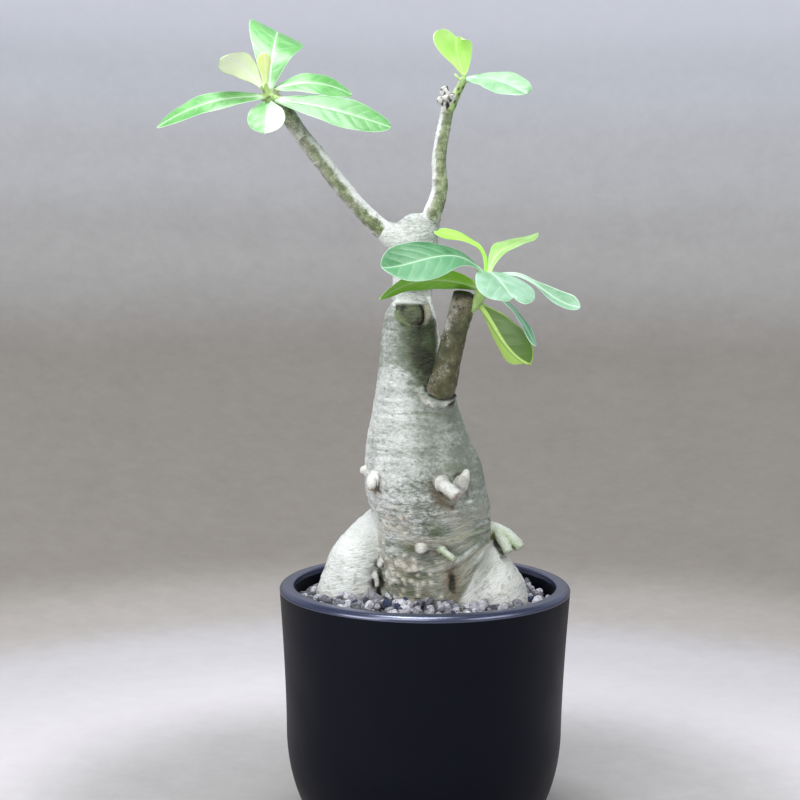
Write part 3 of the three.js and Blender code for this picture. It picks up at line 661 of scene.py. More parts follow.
def bark_finish():
    """Waxy pale bark: a whitish film broken into fine level scales over grey-green skin, green
    where it is thin, brown where it is corky, dark in pits, and dark and brown as painted shade in
    creases, gaps and under stubs; the film also carries some painted light. The pattern's height is
    the growth level, so that it bends with the wrinkles."""
    f = Finish("pale_bark")
    split = f.make("ShaderNodeSeparateXYZ")
    f.feed(split.inputs[0], f.places)
    joined = f.make("ShaderNodeCombineXYZ")
    for axis, value in enumerate((split.outputs[0], split.outputs[1], f.kept("level"))):
        f.feed(joined.inputs[axis], value)
    f.places = joined.outputs[0]
    scales = f.noise(2.2, 4.0, 0.62, f.stretched(1.0, 1.0, 1.5), 0.3)
    dashes = f.noise(3.0, 3.0, 0.55, f.stretched(1.0, 1.0, 3.2), 0.2)
    cloud = f.noise(11.0, 3.0, 0.55)
    grain = f.noise(0.8, 3.0, 0.6, f.stretched(1.0, 1.0, 1.6))
    scaly = f.kept("scaly")
    broken = f.plus(f.times(f.calc("SUBTRACT", scales, 0.5),
                            f.calc("MULTIPLY_ADD", scaly, 1.0, 0.55)),
                    f.times(f.calc("SUBTRACT", cloud, 0.5), 0.5))
    film = f.rise(f.plus(f.kept("film"), broken), 0.0, 1.0)
    skin = f.mix(scales, (0.125, 0.15, 0.115), (0.285, 0.325, 0.28))
    colour = f.mix(film, skin, f.mix(grain, (0.6, 0.64, 0.62), (0.92, 0.95, 0.95)))
    green = f.times(f.kept("green"), f.rise(scales, 0.25, 0.6, 0.65, 1.0))
    colour = f.mix(green, colour, f.mix(grain, (0.062, 0.095, 0.03), (0.18, 0.24, 0.1)))
    colour = f.mix(f.times(f.kept("cream"), f.rise(grain, 0.2, 0.6, 0.6, 1.0)), colour,
                   f.mix(grain, (0.6, 0.56, 0.47), (0.9, 0.87, 0.78)))
    colour = f.mix(f.kept("fresh"), colour, f.mix(cloud, (0.2, 0.36, 0.06), (0.38, 0.54, 0.16)))
    corky = f.times(f.kept("cork"), f.rise(f.noise(1.3, 3.0), 0.3, 0.6, 0.5, 1.0))
    colour = f.mix(corky, colour, f.mix(grain, (0.12, 0.085, 0.048), (0.4, 0.32, 0.22)))
    lines = f.times(f.rise(dashes, 0.43, 0.33), f.calc("MULTIPLY_ADD", scaly, 0.42, 0.05))
    dark = f.calc("MAXIMUM", f.kept("dark"), lines)
    colour = f.mix(dark, colour, (0.022, 0.024, 0.015))
    height = f.plus(f.times(scales, f.calc("MULTIPLY_ADD", scaly, 0.7, 0.3)),
                    f.plus(f.times(grain, 0.18), f.times(dashes, 0.45)))
    bump = f.relief(height, 2.0, 1.0)
    rough = f.rise(film, 0.0, 1.0, 0.66, 0.54)
    return f.finish(colour, rough, bump, 0.4)


def stem_finish(name, skin_low, skin_high):
    """Stem bark: mottled skin between two tones, with whitish film, green, fresh green, cork and
    dark spots laid over it."""
    f = Finish(name)
    blotch = f.noise(4.0, 4.0, 0.6)
    fine = f.noise(0.8, 3.0, 0.6)
    skin = f.mix(f.rise(blotch, 0.3, 0.7), skin_low, skin_high)
    broken = f.plus(f.times(f.calc("SUBTRACT", blotch, 0.5), 1.0),
                    f.times(f.calc("SUBTRACT", fine, 0.5), 0.8))
    film = f.rise(f.plus(f.kept("film"), broken), 0.05, 0.95)
    green = f.times(f.kept("green"), f.rise(blotch, 0.25, 0.55, 0.7, 1.0))
    grains = f.plus(f.times(blotch, 0.6), f.times(fine, 0.4))
    mottled = f.rise(grains, 0.38, 0.62)
    colour = f.mix(green, skin, f.mix(mottled, (0.085, 0.115, 0.045), (0.27, 0.34, 0.17)))
    colour = f.mix(f.kept("fresh"), colour, f.mix(blotch, (0.2, 0.36, 0.09), (0.48, 0.66, 0.26)))
    colour = f.mix(film, colour, f.mix(fine, (0.6, 0.63, 0.61), (0.8, 0.83, 0.82)))
    corky = f.times(f.kept("cork"), f.rise(fine, 0.3, 0.6, 0.6, 1.0))
    colour = f.mix(corky, colour, f.mix(fine, (0.13, 0.095, 0.06), (0.36, 0.3, 0.21)))
    colour = f.mix(f.kept("dark"), colour, (0.018, 0.015, 0.011))
    bump = f.relief(f.plus(fine, f.times(blotch, 0.5)), 0.45, 0.8)
    return f.finish(colour, f.rise(film, 0.0, 1.0, 0.52, 0.5), bump, 0.4)


def leaf_finish(name, deep, light, below, line, edge, gloss=0.36, other_half=None,
                through=(0.45, 0.75, 0.12), share=0.2, past=0.0):
    """A leathery blade: clouds between a deep and a light tone, another tone below, side veins and
    midrib in the line colour, a thin margin in the edge colour, roughness about gloss, and light
    through the blade, tinted by through, as the given share. other_half is the colour of the half
    on the midrib's negative side and of a strip of past millimetres beyond the midrib."""
    f = Finish(name)
    cloud = f.noise(11.0, 3.0, 0.5)
    fine = f.noise(0.9, 2.0, 0.5)
    face = f.mix(f.rise(cloud, 0.3, 0.7), deep, light)
    face = f.mix(f.kept("under"), face, below)
    if other_half:
        lit = f.rise(f.kept("half"), 0.5, -0.5)
        if past:
            lit = f.calc("MAXIMUM", lit, f.rise(f.kept("rib"), past + 0.3, past - 0.3))
        face = f.mix(lit, face, other_half)
    face = f.mix(f.rise(fine, 0.55, 0.75, 0.0, 0.12), face, line)
    wave = f.calc("PINGPONG", f.kept("vein"), 0.5)
    inner = f.rise(f.kept("margin"), 0.8, 4.5)
    patchy = f.rise(f.noise(14.0, 2.0), 0.35, 0.62, 0.25, 1.0)
    by_vein = f.rise(wave, 0.05, 0.0)
    veins = f.times(by_vein, f.times(inner, f.times(patchy, 0.3)))
    halo = f.times(f.rise(wave, 0.22, 0.0), f.times(inner, 0.08))
    rib = f.rise(f.kept("rib"), 0.85, 0.25)
    by_rib = f.rise(f.kept("rib"), 3.2, 0.5)
    lines = f.calc("MAXIMUM", f.plus(veins, halo),
                   f.calc("MAXIMUM", f.times(rib, 0.85), f.times(by_rib, 0.18)))
    colour = f.mix(lines, face, line)
    colour = f.mix(f.times(f.rise(f.kept("margin"), 0.6, 0.15), 0.8), colour, edge)
    colour = f.mix(f.kept("stalk"), colour, line)
    height = f.calc("SUBTRACT", f.times(fine, 0.25), f.times(veins, 1.2))
    rough = f.rise(cloud, 0.3, 0.7, gloss - 0.03, gloss + 0.04)
    f.finish(colour, rough, f.relief(height, 0.3, 0.6), 0.6)
    glow = f.make("ShaderNodeBsdfTranslucent")
    f.feed(glow.inputs["Color"], f.mix(0.5, colour, through))
    both = f.make("ShaderNodeMixShader")
    both.inputs[0].default_value = share
    f.feed(both.inputs[1], f.shader.outputs[0])
    f.feed(both.inputs[2], glow.outputs[0])
    f.feed(f.output.inputs["Surface"], both.outputs[0])
    return f.material


def gravel_finish():
    """Grey-mauve porous stone, each stone in its own tone; the darkest tones turn bluish as painted
    shadow.
    """
    f = Finish("porous_gravel")
    tone = f.kept("tone")
    grain = f.noise(1.1, 4.0, 0.65)
    holes = f.rise(f.cells(1.3), 0.28, 0.08)
    colour = f.mix(tone, (0.055, 0.055, 0.075), (0.72, 0.72, 0.785))
    # painted bluish shadow on the darkest stones
    colour = f.mix(f.rise(tone, 0.035, 0.03), colour, (0.045, 0.06, 0.115))
    colour = f.mix(f.rise(grain, 0.3, 0.62), f.mix(0.5, colour, (0.03, 0.03, 0.035)), colour)
    colour = f.mix(f.times(holes, 0.75), colour, (0.02, 0.02, 0.024))
    bump = f.relief(f.calc("SUBTRACT", grain, holes), 0.5, 1.0)
    return f.finish(colour, 0.92, bump, 0.25)


BLUISH = (0.74, 0.79, 1.0, 1.0)


def pot_finish(name, low, high, rough, specular, ior=1.5):
    """Near-black ceramic with faint clouds between two tones, a fine grain and bluish highlights."""
    f = Finish(name)
    cloud = f.noise(30.0, 3.0, 0.5)
    fine = f.noise(0.45, 2.0, 0.5)
    f.shader.inputs["Specular Tint"].default_value = BLUISH
    f.shader.inputs["IOR"].default_value = ior
    return f.finish(f.mix(cloud, low, high), f.rise(cloud, 0.3, 0.7, rough - 0.03, rough + 0.03),
                    f.relief(fine, 0.05, 0.4), specular)


def mix_finish():
    """Dark potting mix: brown crumbs and fibres."""
    f = Finish("potting_crumbs")
    crumbs = f.cells(2.2)
    grain = f.noise(0.9, 4.0, 0.6)
    colour = f.mix(f.rise(grain, 0.3, 0.7), (0.03, 0.02, 0.013), (0.13, 0.09, 0.055))
    return f.finish(colour, 0.95, f.relief(f.plus(crumbs, grain), 0.8, 0.9), 0.2)


def crack_shade_finish():
    """Near-black with brown crumbs: painted shade that stands in for the depth of the old cut's crack."""
    f = Finish("crack_shadow")
    grain = f.noise(0.7, 3.0, 0.6)
    colour = f.mix(f.rise(grain, 0.4, 0.75), (0.006, 0.006, 0.005), (0.05, 0.04, 0.025))
    return f.finish(colour, 0.9, f.relief(grain, 0.3, 0.8), 0.15)


def bed_finish():
    """Near-black grit between the stones: its darkness is painted shade in the gaps."""
    f = Finish("grit_in_shade")
    grain = f.noise(1.4, 4.0, 0.6)
    colour = f.mix(f.rise(grain, 0.3, 0.7), (0.008, 0.008, 0.01), (0.045, 0.044, 0.048))
    return f.finish(colour, 0.95, f.relief(f.cells(1.8), 0.8, 0.9), 0.2)


def backdrop_finish():
    """Plain paper with faint clouds. Its tone follows the distance along the paper from its middle, as
    SWEEP_TONES says, with painted light and shade in it."""
    f = Finish("pale_paper")
    ramp = f.make("ShaderNodeValToRGB")
    f.feed(ramp.inputs["Fac"], f.kept("along"))
    ramp.color_ramp.interpolation = "EASE"
    stops = ramp.color_ramp.elements
    for stop, (place, tone) in enumerate(SWEEP_TONES):
        if stop >= len(stops):
            stops.new(place)
        stops[stop].position = place
        stops[stop].color = (*tone, 1.0)
    fine, broad = f.noise(16.0, 5.0, 0.7), f.noise(70.0, 6.0, 0.65)
    cloud = f.calc("MULTIPLY_ADD", fine, 0.6, f.times(broad, 0.4))
    tint = f.mix(cloud, (0.1, 0.09, 0.08), (1.0, 1.0, 1.0))
    colour = f.mix(0.24, ramp.outputs["Color"], tint, "OVERLAY")
    return f.finish(colour, 0.9, f.relief(f.noise(9.0, 3.0), 0.3, 0.25), 0.2)


# --- bark detail on the woody body
def growth_level(points):
    """The height that the growth wrinkles follow: level on the trunk, rising to the right over
    the flank and the right root, and sagging a little across the column."""
    x, z = points[:, 0], points[:, 2]
    right = rise(x, 2, 34) * rise(z, 172, 148)
    sag = 0.0022 * np.minimum(x - 2, 0) ** 2 * rise(z, 165, 145)
    return z - 0.62 * right * (x - 2) + sag


def on_left_root(points):
    """1 on the left root and 0 on the trunk."""
    x, y, z = points.T
    edge = -24.2 + 0.3 * np.maximum(y, 0)
    return rise(edge - x, -0.6, 1.2) * rise(z, 170, 164)


def on_right_root(points):
    """1 on the right root's smooth face and 0 on the trunk and its wrinkled flank."""
    x, z = points[:, 0], points[:, 2]
    edge = 31.5 - 0.55 * np.clip(151 - z, 0, 40)
    return rise(x - edge, -2.5, 3.0) * rise(z, 155, 149)


def nearness(points, stations, reach):
    """1 at the skin of a limb and 0 at reach millimetres from it: balls set along its axis."""
    rows = along_path(stations, 1.2)
    share = np.zeros(len(points))
    low, high = rows[:, :3].min(0) - reach - 5, rows[:, :3].max(0) + reach + 5
    near = np.all((points > low) & (points < high), 1)
    away = np.linalg.norm(points[near][:, None] - rows[None, :, :3], axis=2) - rows[None, :, 3]
    share[near] = rise(away.min(1), reach, 0.3 * reach)
    return share


def distance_to(points, path):
    """Distance from each point to the nearest station of a closely spaced path; points more than
    9 mm outside the path's box get a large one."""
    away = np.full(len(points), 99.0)
    near = np.all((points > path[:, :3].min(0) - 9) & (points < path[:, :3].max(0) + 9), 1)
    away[near] = np.min(np.linalg.norm(points[near][:, None] - path[None, :, :3], axis=2), 1)
    return away


def pits(points, centres, sizes, deep, rim):
    """Round pits with raised rims: the height, and how near to a pit's middle each point is, from
    0 to 1. deep and rim are shares of a pit's size, and a negative depth makes it a bump."""
    height, darkness = np.zeros(len(points)), np.zeros(len(points))
    for centre, size in zip(centres, sizes):
        near = np.abs(points - centre).max(1) < 4 * size
        away = np.linalg.norm(points[near] - centre, axis=1) / size
        height[near] += -deep * size * bell(away, 0.75) + rim * size * bell(away - 1.35, 0.45)
        darkness[near] = np.maximum(darkness[near], bell(away, 0.7))
    return height, darkness


class Bark:
    """The bark at each point of the woody body's skin: its height in millimetres above the smooth
    skin, and the shares of whitish film, green, cork, dark, fresh green and cream that colour it;
    the film also carries painted light, and the cork and dark painted shade. The functions below lay
    one feature after another over it, with b for the bark."""

    def __init__(self, body, points, normals):
        self.points, self.normals = points, normals
        self.x, _, self.z = points.T
        self.left, self.right = on_left_root(points), on_right_root(points)
        self.stub = {name: nearness(points, rows, 1.1) for name, (rows, _, _) in STUBS.items()}
        self.on_stub = np.max(list(self.stub.values()), 0)
        self.trunk = (1 - self.left) * (1 - self.right) * (1 - self.on_stub)
        self.level = growth_level(points)
        self.low_trunk = bell(self.level - 146, 24) * self.trunk
        self.flank = rise(self.x, 6, 26) * rise(self.z, 172, 158) * self.trunk
        self.front = rise(-normals[:, 1], -0.2, 0.6)
        # how near other parts of the skin are: 0 on open bark, towards 1 deep in creases, where it is
        # used to paint shade
        crease = np.clip(1 - body.at(points + 2.6 * normals)[0] / 2.6, 0, 1)
        self.crease = crease * (1 - 0.7 * blob(points, [24, -14, 148], [14, 14, 14]))
        # patterns that bend with the growth wrinkles, and soft clouds
        self.bent = np.column_stack([self.x, points[:, 1], self.level])
        self.rings = clouds(self.bent, [17, 17, 2.1], 2, 11)
        self.scales = clouds(self.bent, [3.4, 3.4, 1.7], 2, 31)
        self.cloudy = clouds(points, [13, 13, 20], 3, 51)
        scaly_places = blob(points, [2, -24, 176], [20, 16, 25]) \
            + 0.7 * blob(points, [-19, -18, 171], [10, 12, 15]) \
            + 0.35 * noise(points, [14, 14, 18], 37)
        self.scaly = self.trunk * (0.25 + 0.75 * rise(scaly_places, 0.2, 0.75))
        self.generator = np.random.default_rng(7)
        self.height, self.film, self.green, self.cork, self.dark, self.fresh, self.cream \
            = np.zeros((7, len(points)))


def add_wrinkles(b):
    """Swells, level growth wrinkles and fine scales."""
    points, bent, trunk, scaly = b.points, b.bent, b.trunk, b.scaly
    roots = b.left + b.right
    calm_head = 1 - 0.75 * rise(b.z, 274, 288)
    folds = noise(bent, [26, 26, 4.4], 17)
    ring_height = 0.1 + 0.42 * b.low_trunk + 0.5 * b.flank
    fold_height = 0.1 + 0.45 * b.low_trunk + 0.25 * b.flank
    b.height += 0.8 * clouds(points, [26, 26, 34], 2, 3) * (1 - b.on_stub)
    b.height += 0.28 * clouds(points, 1.9, 2, 5) * b.on_stub
    b.height += ring_height * b.rings * (trunk + 0.3 * b.right) * calm_head
    b.height += fold_height * folds * (trunk + 0.2 * b.right)
    b.height += 0.16 * noise(bent, [9, 9, 1.6], 23) * roots
    b.height += 0.24 * clouds(points, [3.4, 3.4, 2.4], 3, 29) * roots
    b.height += 0.55 * np.clip(b.scales, -0.7, 0.8) * (0.25 * trunk + 0.75 * scaly) * calm_head
    b.height += 0.26 * clouds(bent, [2.2, 2.2, 1.3], 2, 33) * (0.6 * trunk + 0.4 * scaly) * calm_head


def add_bumps(b):
    """Ninety round bumps, most of them low on the column and a few left of its middle."""
    count = 90
    places = 1.3 * blob(b.points, [-12, -17, 135], [16, 14, 15]) \
        + 0.7 * blob(b.points, [-17, -21, 168], [9, 10, 12])
    b.knobs = np.clip(places, 0, 1) * b.trunk
    chance = b.knobs ** 2 / np.sum(b.knobs ** 2)
    picked = b.generator.choice(len(b.points), count, replace=False, p=chance)
    sizes = b.generator.uniform(0.9, 2.0, count)
    bump_height, b.bumps = pits(b.points, b.points[picked], sizes, -0.55, 0.0)
    b.height += np.clip(bump_height, 0, 1.5) * b.trunk


def add_tones(b):
    """The film: it thins towards the right and low down; in the valleys of wrinkles and scales it
    thins and on wrinkle crests it thickens, partly real and partly painted shade and light; in creases
    it thins as painted shade; and a patch below the flank is whitened as painted light. Then the
    green, cream and cork of the open bark."""
    points, bent, x, z = b.points, b.bent, b.x, b.z
    trunk, left, right, on_stub = b.trunk, b.left, b.right, b.on_stub
    low_trunk, flank, cloudy = b.low_trunk, b.flank, b.cloudy
    b.film += 0.8 + 0.2 * cloudy
    b.film += 0.12 * rise(x, -8, -24) * trunk - 0.26 * rise(x, -14, 4) * trunk
    b.film -= (0.23 + 0.04 * rise(z, 180, 205) + 0.18 * rise(z, 228, 246)) * trunk
    b.film -= 0.1 * rise(z, 168, 140) * trunk
    b.film -= (0.12 * rise(x, 4, 20) + 0.12 * low_trunk + 0.1 * rise(z, 236, 250)) * trunk
    b.film += 0.5 * left + 0.46 * right + 0.1 * on_stub + 0.35 * rise(z + 5 * cloudy, 267, 279)
    # the blob below the flank is painted light, whitening the shade under the flank's bulge
    b.film += 0.24 * rise(z, 278, 284) - 0.22 * rise(z, 290, 302) \
        + 0.28 * blob(points, [22, -18, 150], [12, 10, 13])
    # film lost in the valleys of scales and wrinkles and kept on wrinkle crests: partly painted shade and
    # light
    b.film -= 0.4 * np.clip(-b.scales, 0, 1) * b.scaly
    b.film -= (0.22 + 0.5 * flank + 0.4 * low_trunk) * np.clip(-b.rings, -0.5, 1) * trunk
    # painted shade: the film is lost in creases
    b.film -= 0.8 * rise(b.crease, 0.4, 0.9) * (1 - 0.6 * on_stub)
    mossy = patches(bent, [12, 12, 5], 61, 0.1, 0.6, 2)
    b.green += 0.08 * rise(z, 292, 304) + 0.35 * mossy * low_trunk
    b.green += 0.13 * left * blob(points, [-25, -15, 150], [10, 12, 12])
    b.green += 0.26 * flank * patches(bent, [16, 16, 5], 63, -0.1, 0.6)
    warm = clouds(bent, [9, 9, 6], 3, 74)
    b.cream += (0.4 * on_stub + 0.24 * right + 0.05 * left) * (0.75 + 0.5 * cloudy)
    b.cream += 0.42 * rise(z, 182, 160) * trunk * rise(warm, -0.3, 0.5)
    b.cork += 0.22 * rise(z, 178, 150) * trunk * rise(warm, 0.0, 0.6)


def add_stripe(b):
    """The dark green stripe below the old cut, where the film never formed; its darkness is partly
    painted shadow of the leaves above.
    """
    points, x, z = b.points, b.x, b.z
    left_edge = -10.4 + 4.2 * rise(z, 250, 238)
    ragged = 1.2 * noise(points, [3, 3, 2.2], 67) + 0.8 * noise(points, [1.5, 1.5, 1.0], 68)
    stripe = rise(x - left_edge + 1.4 * ragged, -5.0, 6.0) \
        * rise(x, 5.8, 3.6) * rise(z + 2.5 * ragged, 228, 242) \
        * rise(z, 269, 264) * rise(-b.normals[:, 1], 0.05, 0.5)
    # painted shadow of the leaves above, stronger low down
    shade = clouds(points, [5, 5, 8], 3, 70) + 0.3 * rise(z, 256, 236)
    b.film -= 1.35 * stripe
    b.green += stripe
    b.dark += stripe * np.clip(0.72 + 0.6 * shade, 0.3, 0.9)


def add_old_cut(b):
    """The old cut: an olive face, darker on its left, corky and creamy on its right, under a
    pale rolled lip."""
    points, x, z = b.points, b.x, b.z
    facing = unit(np.array(CUT_FACING))
    on_face = rise((points - CUT_PLACE) @ facing, -1.0, -0.1) * rise(b.normals @ facing, 0.8, 0.93) \
        * rise(x, -17.5, -15.5) * rise(z, 262, 263.5) * rise(z, 275, 273)
    patchy = clouds(points, [4, 4, 3], 3, 72)
    flecks = patches(points, [1.6, 1.6, 1.4], 73, 0.1, 0.5, 2)
    b.film -= 1.2 * on_face
    b.green += 0.9 * on_face
    b.dark += on_face * np.clip(0.34 + 0.9 * patchy + 0.45 * flecks, 0.05, 0.9) * rise(x, -0.8, -2.4)
    b.cork += on_face * (0.12 + 0.35 * rise(x, -2.2, -1.0))
    b.cream += on_face * (0.2 * rise(patchy, 0.1, 0.5) + 0.45 * rise(x, -2.2, 0.2))
    lip = blob(points, [-10.5, -6.5, 274.8], [9, 4, 1.6])
    b.height += rise(lip, 0.2, 0.8)
    b.film += rise(lip, 0.15, 0.6)


def add_cut_lines(b):
    """Lines seen from the front, so that their distance leaves out y: the cut's crack and the gap
    under its lip, grooved and darkened with painted shade, the callus round its foot, and a low
    ridge along the edge of bark right of the stripe, whitened as a painted highlight."""
    points = b.points
    flat = points * [1, 0, 1]
    near_cut = blob(points, [-7, -10, 268.5], [20, 14, 13]) > 0.2
    for row, wide, deep in ((CUT_CRACK, 0.4, 0.9), (LIP_GAP, 0.42, 0.6)):
        path = along_path([[x, 0, z, wide] for x, z in row], 0.5)
        wander = 0.7 * noise(points, 2.0, 75)[:, None] * [1, 0, 1]
        gap = bell(distance_to(flat + wander, path), wide) * near_cut * b.front
        b.height -= deep * gap
        # painted shade: the crack and the gap under the lip are darkened
        b.dark += 0.5 * gap * patches(points, 2.4, 76, -0.9, 0.1)
    path = along_path([[x, 0, z, 1] for x, z in CUT_CALLUS], 0.5)
    callus = bell(distance_to(flat, path), 0.75) * near_cut * b.front
    b.height += 0.6 * callus
    b.film += 0.7 * callus
    b.dark -= 0.4 * callus
    path = along_path([[x, 0, z, 1] for x, z in STRIPE_EDGE_HIGHLIGHT], 0.5)
    edge_highlight = bell(distance_to(flat, path), 0.7) * rise(-b.normals[:, 1], -0.1, 0.2)
    b.height += 0.5 * edge_highlight
    # painted highlight: the ridge is whitened into a pale line along the edge of bark
    b.film += 1.2 * edge_highlight
    b.dark -= edge_highlight
    b.green -= 0.8 * edge_highlight


def add_scars(b):
    """Scattered pores, a few larger pits, and three oval leaf scars."""
    points, count = b.points, 190
    chosen = b.generator.choice(len(points), count, replace=False)
    sizes = b.generator.uniform(0.4, 0.8, count)
    pit_height, pit_dark = pits(points, points[chosen], sizes, 0.8, 0.4)
    b.height += pit_height * (1 - b.on_stub)
    b.dark += 0.65 * pit_dark * b.trunk * rise(b.z, 150, 165)
    marks = np.array(LARGE_PITS)
    mark_height, mark_dark = pits(points, marks[:, :3], marks[:, 3], 0.9, 0.6)
    b.height += mark_height
    b.dark += 0.9 * mark_dark
    for centre in LEAF_SCARS:
        away = (points - centre) / np.array([2.3, 2.6, 1.3])
        ring = bell(np.linalg.norm(away, axis=1) - 0.85, 0.22)
        b.height += 0.45 * ring
        b.film += 0.5 * ring


def add_roll(b):
    """The broken pale roll of bark under the front stem's crack."""
    points = b.points
    away = distance_to(points, along_path(ROLL, 0.5))
    broken = patches(points, 3.2, 95, -0.45, 0.35, 2)
    roll = bell(away, 1.1) * broken
    b.height += 0.9 * roll
    b.film += 0.35 * roll
    b.cream += 0.35 * bell(away, 2) * broken
    b.green += 0.3 * blob(points, [5, -24, 219], [9, 8, 5])


def column_cork_and_shade(b):
    """Cork beside the pale stub and low on the column, where the bumps are cream; painted brown
    shadow under the big stub, and painted brown shade round the cleft and in creases.
    """
    points, z, bumps = b.points, b.z, b.bumps
    low_column = blob(points, [-8, -16, 130], [20, 14, 14])
    b.cork += 0.9 * blob(points, [-26, -19, 180.6], [3.4, 4, 3.0])
    # painted shadow: brown under the big stub
    b.cork += 0.6 * blob(points, [9, -28, 180], [5, 6, 4.5]) * (1 - b.stub["big"])
    b.film -= 0.16 * low_column
    b.cork += 0.5 * patches(points, [6, 6, 4], 71, 0.0, 0.5, 2) * low_column
    b.green += 0.6 * patches(points, [5, 5, 4], 77, -0.3, 0.4, 2) * low_column
    b.dark += 0.3 * patches(points, [6, 6, 4], 79, -0.1, 0.5, 2) * low_column * (1 - bumps)
    b.cream += 0.8 * bumps
    b.cork += 0.2 * b.knobs * (1 - bumps) * rise(z, 150, 138)
    b.cream += 0.3 * bumps * b.trunk
    # painted shade: brown round the cleft and in creases
    b.cork += 0.25 * blob(points, [16, -20, 134], [8, 8, 12]) + 0.2 * rise(b.crease, 0.5, 0.95)


def stub_ends_and_shade(b):
    """Corky sawn ends and cork on the stubs; greenish patches on the big and pointed stubs, partly
    painted shade; and painted shade: brown on the undersides of the big and pale stubs, brown and dark
    under the big stub, and dark in the gaps round the stubs, beside the pale stub, in and round the
    cleft and round the front stem's foot."""
    points, z, stub, on_stub = b.points, b.z, b.stub, b.on_stub
    b.ends = sum(bell(np.linalg.norm(points - rows[-1][:3], axis=1), 0.75 * rows[-1][3])
                 for rows, _, facing in STUBS.values() if facing)
    b.cork += 0.55 * b.ends
    b.cork += 0.22 * on_stub * patches(points, 2.4, 89, 0.1, 0.5)
    # greenish patches, standing partly for the olive shade under these stubs
    b.green += 0.45 * (stub["big"] + stub["pointed"]) * patches(points, 3.1, 97, -0.2, 0.4)
    # painted shadow under the big stub
    shadow_under_big = bell(distance_to(points, along_path(UNDER_BIG_SHADOW, 0.5)), 2.4) * (1 - on_stub)
    b.cork += 0.6 * shadow_under_big
    b.dark += 0.42 * shadow_under_big
    # painted shade in the gap beside the pale stub
    side_gap_shade = bell(distance_to(points, along_path(BESIDE_PALE, 0.5)), 1.4)
    b.dark += 0.8 * side_gap_shade * (1 - on_stub)
    # painted shade in and round the cleft, and in the crack round the front stem's foot
    b.dark += 0.85 * nearness(points, CLEFT, 1.6) * rise(z, 142, 138)
    b.cork += 0.5 * nearness(points, CLEFT, 5.0)
    b.dark += 1.3 * nearness(points, FRONT_STEM, 1.9) * patches(points, 2.2, 93, -0.9, -0.1)
    # painted shade where the stubs meet the bark
    foot = np.max([nearness(points, rows, 4.2) for rows, _, _ in STUBS.values()], 0) * (1 - on_stub)
    foot *= patches(points, 3.0, 91, -0.5, 0.3)
    b.cork += 0.35 * foot
    b.dark += 0.3 * foot * rise(z, 300, 290)
    # painted shade: brown on the undersides of the big and pale stubs
    b.cork += 0.55 * np.maximum(stub["big"], stub["pale"]) * rise(-b.normals[:, 2], 0.1, 0.7)


def add_green_patches(b):
    """Green patches where rain runs, and fresh green buds and shoots."""
    points = b.points
    b.green += 0.75 * blob(points, [4.4, -27, 161.8], [4.5, 6, 5.5]) \
        + 0.7 * blob(points, [21, -21, 158.3], [7, 9, 4])
    b.green += 0.6 * blob(points, [-8, -23, 153], [5, 6, 3]) \
        + 0.5 * blob(points, [14, -26, 193.5], [6, 8, 4])
    b.green += 0.5 * blob(points, [30, -14, 143], [8, 9, 7]) \
        + 0.22 * b.left * blob(points, [-27, 0, 146], [9, 14, 16])
    for name, share in (("sprout", 0.55), ("sprout_side", 0.5), ("peg", 0.7)):
        b.fresh += share * b.stub[name] * (1 - 0.8 * rise(b.ends, 0.3, 0.6)) \
            * (1 - 0.6 * rise(b.normals[:, 2], -0.2, 0.7))
        b.cream -= 0.6 * b.stub[name]
        b.film += 0.3 * b.stub[name]


def crease_shade_and_roots(b):
    """Painted shade in creases, film fading just above the gravel, and roots with corky dots, cream
    feet and a touch of green.
    """
    points, z, left, right = b.points, b.z, b.left, b.right
    # painted shade in creases
    b.dark += 0.55 * rise(b.crease, 0.45, 0.9)
    b.film -= 0.35 * rise(z, 127, 122) * (1 - left - right)
    dots = patches(points, [1.7, 1.7, 1.5], 83, 0.42, 0.62) * (left + right) * rise(z, 150, 138)
    b.cork += 0.5 * dots
    b.height += 0.3 * dots
    low_roots = (left + right) * rise(z, 142, 124)
    b.cream += 0.5 * low_roots * patches(points, [7, 7, 5], 85, -0.2, 0.5, 3)
    b.green += 0.16 * (left + right) * patches(points, [9, 9, 8], 87, 0.0, 0.6)


def make_caudex(body, material):
    """The woody body with its bark."""
    points, faces, normals = settled_skin(body)
    bark = Bark(body, points, normals)
    for lay in (add_wrinkles, add_bumps, add_tones, add_stripe, add_old_cut, add_cut_lines, add_scars,
                add_roll, column_cork_and_shade, stub_ends_and_shade, add_green_patches, crease_shade_and_roots):
        lay(bark)
    caudex = make_mesh("caudex_bark", points + normals * bark.height[:, None], [faces])
    for name in ("film", "green", "cork", "dark", "fresh", "cream", "scaly"):
        store(caudex, name, np.clip(getattr(bark, name), 0, 1))
    store(caudex, "level", bark.level * MM)
    finish_piece(caudex, "bark", material, "caudex")


# --- stems
# Angles of the rings in a limb's domes, and the turn between leaf scars.
DOME_BEND = np.radians([80, 65, 50, 35, 20, 8])
GOLDEN_ANGLE = np.radians(137.5)


